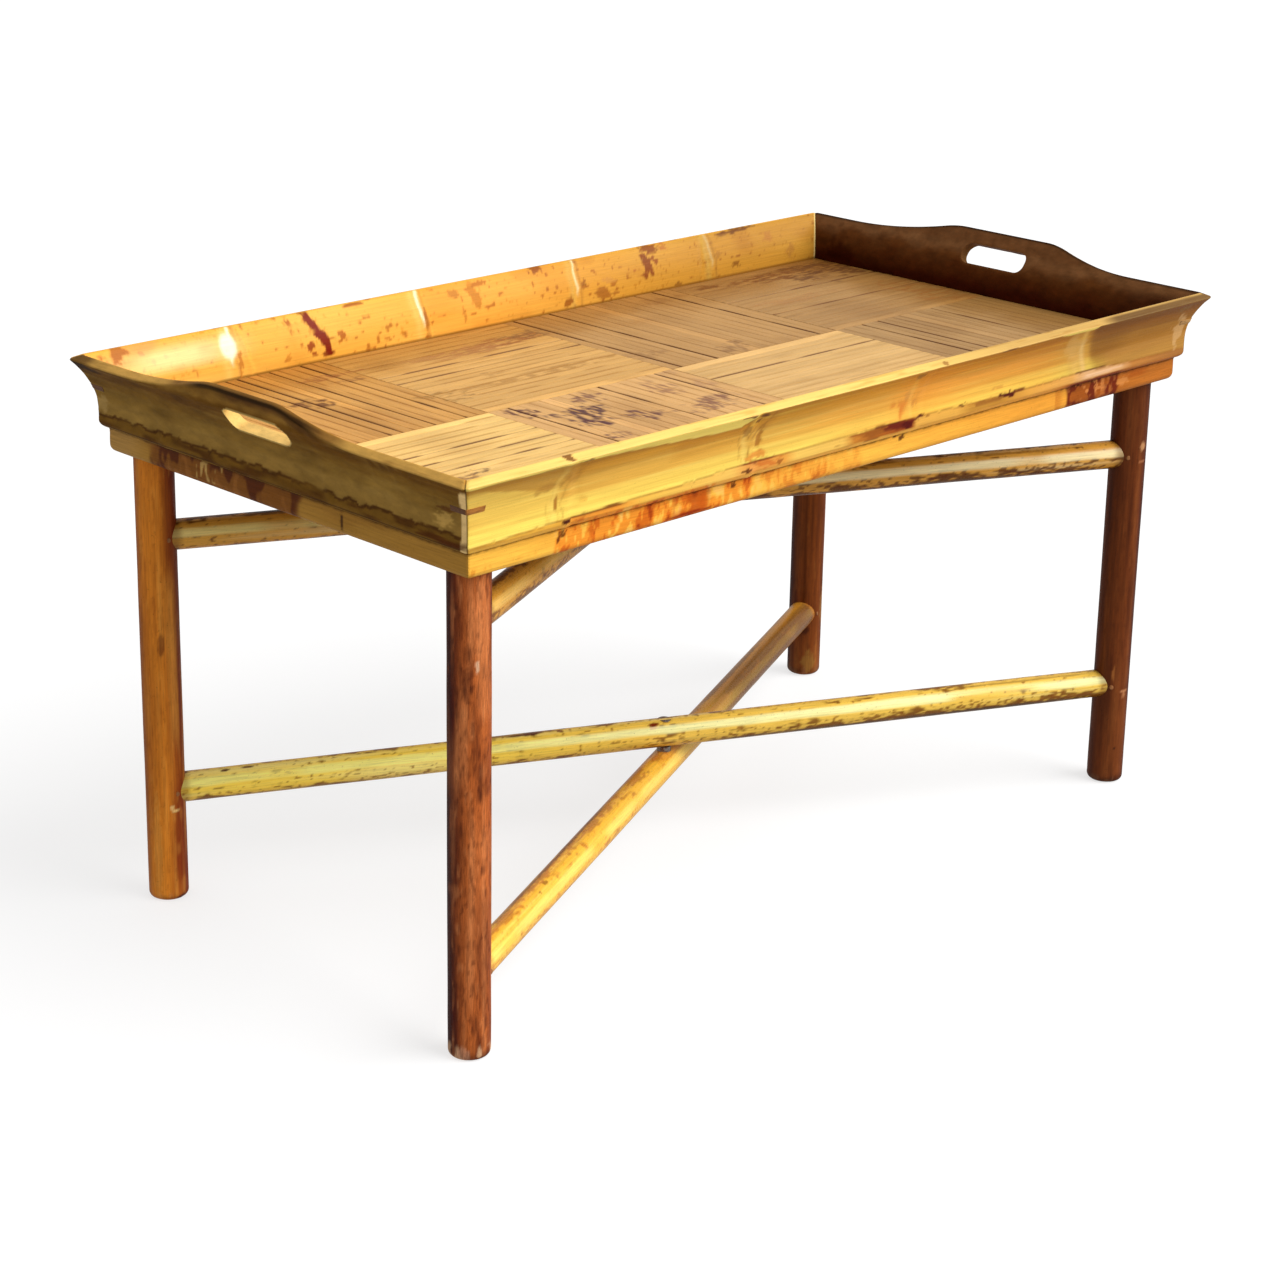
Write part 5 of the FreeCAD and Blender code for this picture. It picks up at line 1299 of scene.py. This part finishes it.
def right_coat(spot):
    """Its inner face, turned from the light, is painted dark and cloudy, partly as painted shade, darkest
    along the floor; outside it is like the back.
    """
    along, outward, height = spot.T
    rise = handle_rise(along, *RIGHT_HANDLE)
    outside, lip, inside = face_shares(outward, height, rise)
    coat = Coat(spot, (196, 142, 52))
    fibre = waver(spot, (0.1, 0.02, 0.0025), 162)
    coat.lay((216, 166, 70), fade(fibre, 0.0, 0.8) * 0.5 * outside)
    coat.lay((156, 104, 36), fade(fibre, -0.2, -0.9) * 0.5 * outside)
    node_marks(coat, RIGHT_RINGS, outside)
    joint = height + 0.003 * waver(spot, (0.01, 0.03, 0.03), 163)
    coat.lay((120, 66, 24), fade(joint, 0.4265, 0.4225) * 0.8 * outside)
    shade = waver(spot, (0.03, 0.02, 0.012), 165) + 0.5 * waver(spot, (0.01, 0.01, 0.008), 166)
    level = height + 0.006 * shade
    # painted shade on the inner face, turned from the light: dark, lightening upwards from the floor
    coat.lay((58, 16, 2), inside)
    coat.lay((76, 36, 8), inside * fade(level, 0.443, 0.456))
    coat.lay((90, 50, 18), inside * fade(level, 0.455, 0.465))
    coat.lay((120, 80, 46), inside * fade(level, 0.464, 0.478))
    coat.tint((0.6, 0.55, 0.5), inside * fade(shade, 0.1, 0.9) * 0.6)
    coat.tint((1.3, 1.35, 1.4), inside * fade(shade, -0.2, -0.9) * 0.5)
    # painted shade in the front corner
    coat.lay((60, 22, 4), inside * fade(along, -0.12, -0.2) * fade(height, 0.476, 0.465) * 0.7)
    fine = waver(spot, (0.007, 0.005, 0.005), 167) + 0.5 * waver(spot, (0.0025, 0.002, 0.002), 168)
    coat.tint((0.7, 0.66, 0.6), inside * fade(fine, 0.1, 0.8) * 0.6)
    coat.tint((1.25, 1.32, 1.4), inside * fade(fine, -0.1, -0.8) * 0.6)
    coat.lay((44, 6, 0), inside * blot(along, height, (0.19, 0.450), (0.022, 0.011), 0.4, 169) * 0.7)
    top = LIP_TOP + rise * math.cos(LIP_TILT)
    coat.lay((70, 44, 20), lip * 0.8)
    coat.lay((30, 12, 4), (inside + lip) * fade(top - height, 0.003, 0.001) * 0.85)
    # painted shade: this slot's cut wall is laid dark
    slot_walls(coat, (110, 70, 34), 0.9)
    mitre_line(coat, HALF_WIDTH)
    return coat


def slot_walls(coat, colour, weight):
    """The cut wall of a hand slot, and its rubbed arris, in the colour given: pale on the left end, dark as
    painted shade on the right.
    """
    along, outward, height = coat.spot.T
    up = (height - LIP_TOP) * math.cos(LIP_TILT) + (outward + LIP_WIDTH) * math.sin(LIP_TILT) + SLOT_DROP
    aside = np.clip(np.abs(along) - (SLOT_HALF - SLOT_CORNER), 0, None)
    over = np.clip(np.abs(up) - (SLOT_HIGH - SLOT_CORNER), 0, None)
    from_wall = np.hypot(aside, over) - SLOT_CORNER
    coat.lay(colour, fade(from_wall, 0.0009, 0.0002) * weight)


# Node rings: place along the board, strength, lean and, where they are painted, the colour of the lines.
# FRONT_RINGS swell the front's outer face, FRONT_MARKS are the lines painted on it.
FRONT_RINGS = [(-0.355, 0.8, 0.1), (-0.153, 1.0, -0.1), (0.058, 0.25, 0.05), (0.28, 0.55, 0.0)]
FRONT_MARKS = [(-0.3545, 0.4, 0.02, (170, 112, 40)), (-0.154, 0.75, -0.02, (164, 102, 34)),
               (0.047, 0.3, -0.1, (204, 128, 56))]
FRONT_INNER_RINGS = [(-0.36, 0.7, 0.0), (-0.15, 0.8, 0.0), (0.06, 0.7, 0.0), (0.275, 0.7, 0.0)]
BACK_RINGS = [(-0.306, 1.0, 0.05), (-0.093, 1.0, -0.05), (0.098, 0.9, 0.05), (0.281, 0.4, 0.0)]
BACK_OUTER_RINGS = [(-0.3, 0.8, 0.1, (140, 90, 34)), (-0.095, 1.0, -0.1, (126, 84, 30)),
                    (0.1, 0.6, 0.05, (150, 96, 40)), (0.285, 0.8, 0.0, (140, 90, 34))]
LEFT_RINGS = [(-0.075, 0.35, 0.05), (0.15, 0.3, 0.0)]
RIGHT_RINGS = [(-0.02, 0.8, 0.05, (130, 84, 34)), (0.17, 0.6, 0.0, (130, 84, 34))]
# Handles: where the top ends and the ramp's foot lies, to the back and to the front of the middle
LEFT_HANDLE = (0.042, 0.185, 0.026, 0.130)
RIGHT_HANDLE = (0.044, 0.190, 0.055, 0.160)
make_side("front", FRONT_RINGS, FRONT_INNER_RINGS, front_coat, side_skin, 201)
make_side("back", BACK_OUTER_RINGS, BACK_RINGS, back_coat, side_skin, 211)
make_side("left", LEFT_RINGS, [], left_coat, dark_skin, 221, LEFT_HANDLE)
make_side("right", RIGHT_RINGS, [], right_coat, dark_skin, 231, RIGHT_HANDLE)


# Corner keys: thin hardwood wedges glued across the mitres in a saw kerf and trimmed to the flare.
# They stand a hair proud, with their grain running across the corner.

KEY_MIDDLE = 0.454
KEY_HALF = 0.0025
KEY_REACH = 0.0175
KEY_TIP = 0.0022
KEY_PROUD = 0.0002
KEY_EASE = 0.0003
KEY_ROWS = 7
key_wood = grained("key_wood", streaks=(0.02, 0.0012, 0.7, 1.3), fleck=(0.002, 0.4), rough=(0.45, 0.65),
                   coat=0.2, ridge=0.0004)


def make_keys():
    """Four wedges in one mesh: flat leaves of two arms that follow the flare, rounded at the corner."""
    points = []
    faces = []
    for number, (x_sign, y_sign) in enumerate(((-1, -1), (1, -1), (-1, 1), (1, 1))):
        start = len(points)
        for row in range(KEY_ROWS):
            share = 2 * row / (KEY_ROWS - 1) - 1
            level = KEY_MIDDLE + KEY_HALF * share
            ease = KEY_EASE * (abs(share) > 0.9)
            inset = -outer_face(level) - KEY_PROUD + ease
            reach = KEY_REACH - outer_face(KEY_MIDDLE) - inset
            corner = (HALF_LENGTH - inset, HALF_WIDTH - inset)
            steps = np.linspace(1, 0, 9)[:-1] * (reach - KEY_TIP) + KEY_TIP
            tip = KEY_TIP * (1 - math.sqrt(0.5))
            ring = [(corner[0], corner[1] - step) for step in steps] + [(corner[0], corner[1] - KEY_TIP)]
            ring += [(corner[0] - tip, corner[1] - tip), (corner[0] - KEY_TIP, corner[1])]
            ring += [(corner[0] - step, corner[1]) for step in steps[::-1]]
            wobble = 0.0004 * math.sin(row * 1.7 + number)
            for x, y in ring:
                points.append((x_sign * x, y_sign * y, level + wobble * 0.5))
        around = len(ring)
        for face in tube_faces(KEY_ROWS, around):
            turned = tuple(start + place for place in face)
            faces.append(turned if x_sign * y_sign > 0 else turned[::-1])
    points = np.array(points)
    piece = piece_of("corner_key_wedges", points, faces, "tray", ["corner_keys"])
    on_end = (np.abs(points[:, 0]) - HALF_LENGTH) > (np.abs(points[:, 1]) - HALF_WIDTH) + 0.0002
    coat = Coat(points, (176, 112, 44))
    coat.lay((92, 52, 20), on_end * 0.9)
    front_right = (points[:, 0] > 0) & (points[:, 1] < 0)
    coat.lay((190, 142, 82), front_right)
    coat.lay((80, 46, 20), fade(waver(points, (0.008, 0.008, 0.001), 171), 0.2, 0.9) * 0.5)
    dress(piece, points, coat.tones, key_wood)


make_keys()


# Floor panel: thin plywood let into grooves of the sides; the slats are glued to it.
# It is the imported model's own piece, stained brown, and its underside is bare.

panel_wood = sawn_wood("panel_plywood", tone(158, 112, 66), tone(112, 74, 40), 0.8)
wear(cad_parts["floor_panel"], panel_wood)


# Floor slats: eight square blocks of 19 split bamboo slats, laid by turns along and across the tray.
# Each slat has its own tone, eased edges and a dark uneven seam; one in each block is pale.

SLAT_TOP = 0.438
BLOCK_X = 0.215
BLOCK_Y = 0.219
SLATS = 19
OPEN_SEAM = 0.00034
CLOSE_SEAM = 0.00006
CLOSE_ARRIS = 0.35
CUT_SHAKE = 0.0012
SLAT_STEP = 0.0022
SLAT_LOW = 0.0001
SLAT_SHORT = 0.0004
# Section of a slat: share of its width, and height over its crown's level
SLAT_PROFILE = np.array([(0.0, -0.0036), (0.0, -0.0006), (0.03, -0.0002), (0.09, -0.00005), (0.22, 0.00004),
                         (0.36, 0.00008), (0.5, 0.0001), (0.64, 0.00008), (0.78, 0.00004),
                         (0.91, -0.00005), (0.97, -0.0002), (1.0, -0.0006), (1.0, -0.0036)])
slat_skin = grained("slat_skin", streaks=(0.045, 0.001, 0.84, 1.12), fleck=(0.0016, 0.22),
                    rough=(0.36, 0.6), coat=0.04, ridge=0.0004)
SLAT_BLOCKS = {
    # base tone (partly painted sheen: blocks laid along the table lighter), slats whose far seam is open
    # and dark, the one pale slat, how dark the other seams are
    "front_slats_1": ((240, 196, 116), (4, 9, 11, 13), 18, 1.2),
    "front_slats_2": ((220, 170, 106), (1, 7, 16), 13, 0.9),
    "front_slats_3": ((222, 177, 110), (4, 14), 18, 0.6),
    "front_slats_4": ((180, 139, 87), (6, 13, 15), 10, 0.6),
    "back_slats_1": ((208, 152, 78), (1, 4, 7, 8), 6, 1.2),
    "back_slats_2": ((216, 166, 94), (9, 11), 0, 1.2),
    "back_slats_3": ((190, 144, 86), (1, 13, 17), 9, 0.5),
    "back_slats_4": ((177, 134, 80), (6, 11), 0, 0.5),
}
# Stains on the floor: x, y, half sizes, colour, strength
STAINS = [
    (-0.196, -0.020, 0.013, 0.012, (104, 62, 50), 0.95),
    (-0.158, -0.052, 0.022, 0.020, (92, 56, 52), 1.0), (-0.168, -0.078, 0.018, 0.012, (92, 52, 52), 1.0),
    (-0.114, -0.093, 0.022, 0.018, (104, 62, 56), 0.95),
    (-0.180, -0.120, 0.014, 0.008, (112, 68, 56), 0.9),
    (-0.120, -0.018, 0.015, 0.012, (120, 76, 60), 0.85),
    (-0.045, -0.042, 0.016, 0.034, (160, 112, 78), 0.8),
    (-0.055, -0.100, 0.024, 0.018, (136, 90, 66), 0.9),
    (-0.015, -0.050, 0.012, 0.04, (176, 128, 88), 0.6),
    (-0.120, 0.066, 0.090, 0.007, (176, 126, 60), 0.75),
    (-0.045, 0.172, 0.040, 0.012, (150, 90, 44), 0.9), (0.390, 0.178, 0.050, 0.030, (96, 54, 22), 0.85),
    (0.285, 0.112, 0.050, 0.014, (172, 120, 68), 0.5), (0.410, 0.050, 0.030, 0.040, (150, 92, 36), 0.6),
    (-0.237, 0.177, 0.026, 0.008, (150, 88, 40), 0.85), (-0.235, 0.153, 0.014, 0.006, (130, 80, 42), 0.7),
    (-0.305, 0.120, 0.016, 0.008, (108, 62, 28), 0.9), (-0.301, 0.105, 0.016, 0.008, (104, 60, 28), 0.9),
    (-0.209, 0.066, 0.022, 0.008, (160, 114, 52), 0.85),
    (-0.203, 0.048, 0.014, 0.006, (150, 106, 50), 0.7),
    (-0.018, 0.176, 0.024, 0.008, (130, 88, 46), 0.75), (-0.005, 0.164, 0.014, 0.006, (130, 88, 46), 0.6),
    (-0.352, -0.127, 0.014, 0.006, (140, 92, 52), 0.8), (-0.330, -0.119, 0.008, 0.004, (88, 48, 30), 0.9),
    (-0.385, -0.175, 0.012, 0.01, (150, 106, 70), 0.7),
    (-0.372, -0.188, 0.006, 0.005, (120, 74, 50), 0.7), (-0.13, 0.09, 0.012, 0.006, (170, 122, 62), 0.6),
    (0.02, 0.05, 0.02, 0.01, (150, 106, 60), 0.5), (-0.10, 0.166, 0.055, 0.012, (170, 112, 62), 0.8),
    (0.32, 0.19, 0.07, 0.014, (112, 62, 22), 0.85), (0.10, 0.02, 0.02, 0.016, (140, 98, 56), 0.7),
    (0.17, 0.19, 0.04, 0.01, (140, 92, 44), 0.6),
]


def make_block(name, column, row, along_x, seed):
    """One block of slats, each cut, crowned, eased and toned by itself, stained after it is laid."""
    chance = np.random.default_rng(seed)
    base, open_seams, pale_slat, seam_weight = SLAT_BLOCKS[name]
    centre = np.array([(column - 1.5) * BLOCK_X, (row - 0.5) * BLOCK_Y])
    run, breadth = (BLOCK_X, BLOCK_Y) if along_x else (BLOCK_Y, BLOCK_X)
    cuts = np.linspace(-breadth / 2, breadth / 2, SLATS + 1)
    cuts[1:-1] += chance.uniform(-CUT_SHAKE, CUT_SHAKE, SLATS - 1)
    ring = len(SLAT_PROFILE)
    steps = int(run / SLAT_STEP)
    points, tones, grains, faces = [], [], [], []
    for slat in range(SLATS):
        near_open = slat - 1 in open_seams
        far_open = slat in open_seams
        near_gap = OPEN_SEAM if near_open else CLOSE_SEAM
        far_gap = OPEN_SEAM if far_open else CLOSE_SEAM
        drop = SLAT_PROFILE[:, 1].copy()
        drop[1:6] *= 1.0 if near_open else CLOSE_ARRIS
        drop[7:12] *= 1.0 if far_open else CLOSE_ARRIS
        near = cuts[slat] + near_gap
        far = cuts[slat + 1] - far_gap
        along = np.linspace(-0.5, 0.5, steps) * (run - SLAT_SHORT - chance.uniform(0, SLAT_SHORT))
        level = SLAT_TOP - SLAT_LOW - chance.uniform(0, 0.00015)
        line = np.c_[along, np.full(steps, slat + seed * 3.1), np.zeros(steps)]
        near_edge = near + 0.4 * near_gap * (1 + waver(line, (0.02, 1, 1), seed))
        near_edge = near_edge + 0.00005 * waver(line, (0.005, 1, 1), 5)
        far_edge = far - 0.4 * far_gap * (1 + waver(line, (0.02, 1, 1), seed + 9))
        far_edge = far_edge - 0.00005 * waver(line, (0.005, 1, 1), 6)
        across = near_edge[:, None] + (far_edge - near_edge)[:, None] * SLAT_PROFILE[None, :, 0]
        height = level + drop[None, :] + 0 * across
        here = np.stack([np.repeat(along[:, None], ring, axis=1), across, height], axis=2).reshape(-1, 3)
        start = slat * steps * ring
        for face in tube_faces(steps, ring):
            faces.append(tuple(start + place for place in face))
        points.append(here)
        spot = np.c_[here[:, 0], here[:, 1], np.full(len(here), slat * 0.37 + seed)]
        coat = Coat(spot, base)
        coat.tones *= chance.uniform(0.94, 1.05)
        if slat == pale_slat:
            coat.lay(base, np.full(len(here), 0.9), 1.22)
        coat.lay(base, coat.patch((0.05, 0.004, 1), seed + 1, 0.2, 1.0) * 0.5, (0.66, 0.6, 0.5))
        coat.lay(base, coat.patch((0.07, 0.005, 1), seed + 2, 0.2, 0.9) * 0.5, (1.16, 1.2, 1.3))
        for edge, is_open, salt in ((here[:, 1] - near, near_open, 0), (far - here[:, 1], far_open, 1)):
            trail = np.c_[here[:, 0], np.full(len(here), slat + salt), np.zeros(len(here))]
            broken = fade(waver(trail, (0.03, 0.4, 1), seed + 4), -0.6, 0.3)
            line = fade(edge, 0.0008 + 0.0012 * broken, 0.0003)
            if is_open:
                coat.lay((112, 68, 30), line * (0.45 + 0.5 * broken))
            else:
                coat.lay(base, line * (0.08 + 0.6 * broken) * seam_weight, (0.6, 0.5, 0.36))
        tones.append(coat.tones)
        grains.append(np.c_[here[:, 0], here[:, 1] + slat * 0.3, here[:, 2] + seed])
    local = np.concatenate(points)
    if along_x:
        placed = np.c_[centre[0] + local[:, 0], centre[1] + local[:, 1], local[:, 2]]
    else:
        placed = np.c_[centre[0] - local[:, 1], centre[1] + local[:, 0], local[:, 2]]
    coat = Coat(placed, base)
    coat.tones = np.concatenate(tones)
    worn = waver(placed, (0.06, 0.06, 1), 400)
    coat.tint((0.82, 0.78, 0.74), fade(worn, 0.1, 0.9) * 0.8)
    # painted shade on the floor along the back wall and the right end
    wall_shade_wobble = 0.02 * waver(placed, (0.03, 0.02, 1), 401)
    coat.tint((0.74, 0.62, 0.42), fade(placed[:, 1] + wall_shade_wobble, 0.12, 0.19) * 0.9)
    coat.tint((0.74, 0.64, 0.42), fade(placed[:, 0] + wall_shade_wobble, 0.33, 0.39) * 0.9)
    for number, (x, y, wide, deep, colour, weight) in enumerate(STAINS):
        if abs(x - centre[0]) > BLOCK_X * 0.7 or abs(y - centre[1]) > BLOCK_Y * 0.7:
            continue
        mark = blot(placed[:, 0], placed[:, 1], (x, y), (wide, deep), 0.7, 300 + number)
        strokes = waver(local + [0, 0, number], (0.009, 0.0024, 1), 330)
        strokes = strokes + 0.5 * waver(local, (0.004, 0.0018, 1), 331)
        coat.lay(colour, mark * fade(strokes, -0.45, 0.25) * weight)
    piece = piece_of(f"{name}_laid", placed, faces, "tray", [name])
    dress(piece, np.concatenate(grains), coat.tones, slat_skin)


for row, row_name in enumerate(("front", "back")):
    for column in range(4):
        along_x = (column + row) % 2 == 0
        make_block(f"{row_name}_slats_{column + 1}", column, row, along_x, 40 + row * 4 + column)


# Studio: a pale floor, a large soft light from the front right, weak fill from all round, and the
# camera at the photograph's place. The floor isn't part of the table.

scene = bpy.context.scene
floor_mesh = bpy.data.meshes.new("studio_floor")
floor_corners = [(-40, -40, 0), (40, -40, 0), (40, 40, 0), (-40, 40, 0)]
floor_mesh.from_pydata(floor_corners, [], [(0, 1, 2, 3)])
floor = bpy.data.objects.new("studio_floor", floor_mesh)
scene.collection.objects.link(floor)
floor_paint = bpy.data.materials.new("studio_floor")
floor_paint.use_nodes = True
floor_tree = floor_paint.node_tree
join(floor_tree, floor_tree.nodes["Principled BSDF"], Base_Color=(0.32, 0.32, 0.32, 1), Roughness=0.9,
     Emission_Color=(1, 1, 1, 1), Emission_Strength=0.69)
floor_mesh.materials.append(floor_paint)
floor.visible_diffuse = False
floor.visible_glossy = False

world = bpy.data.worlds.new("studio_air")
world.use_nodes = True
join(world.node_tree, world.node_tree.nodes["Background"], Color=(1, 1, 1, 1), Strength=0.5)
scene.world = world

key_lamp = bpy.data.lights.new("key_light", "SUN")
key_lamp.energy = 3.4
key_lamp.angle = math.radians(55)
key_light = bpy.data.objects.new("key_light", key_lamp)
key_light.rotation_euler = Vector((-0.40, 0.64, -0.66)).to_track_quat("-Z", "Y").to_euler()
scene.collection.objects.link(key_light)

# The camera as solved from the photograph: place, direction, roll, lens and shift
camera_place = (-1.7311, -1.6904, 1.0682)
azimuth = math.radians(-44.952)
elevation = math.radians(18.030)
roll = math.radians(1.027)
back = Vector((math.sin(azimuth) * math.cos(elevation), -math.cos(azimuth) * math.cos(elevation),
               math.sin(elevation)))
level_right = (-back).cross(Vector((0, 0, 1))).normalized()
level_up = level_right.cross(-back)
right = math.cos(roll) * level_right + math.sin(roll) * level_up
up = -math.sin(roll) * level_right + math.cos(roll) * level_up
lens = bpy.data.cameras.new("camera")
lens.sensor_width = 36
lens.lens = 80.69
lens.shift_x = 0.005
lens.shift_y = -0.078
lens.clip_end = 200
camera = bpy.data.objects.new("camera", lens)
camera.matrix_world = Matrix((
    (right.x, up.x, back.x, camera_place[0]),
    (right.y, up.y, back.y, camera_place[1]),
    (right.z, up.z, back.z, camera_place[2]),
    (0, 0, 0, 1)))
scene.collection.objects.link(camera)
scene.camera = camera
scene.view_settings.view_transform = "Standard"
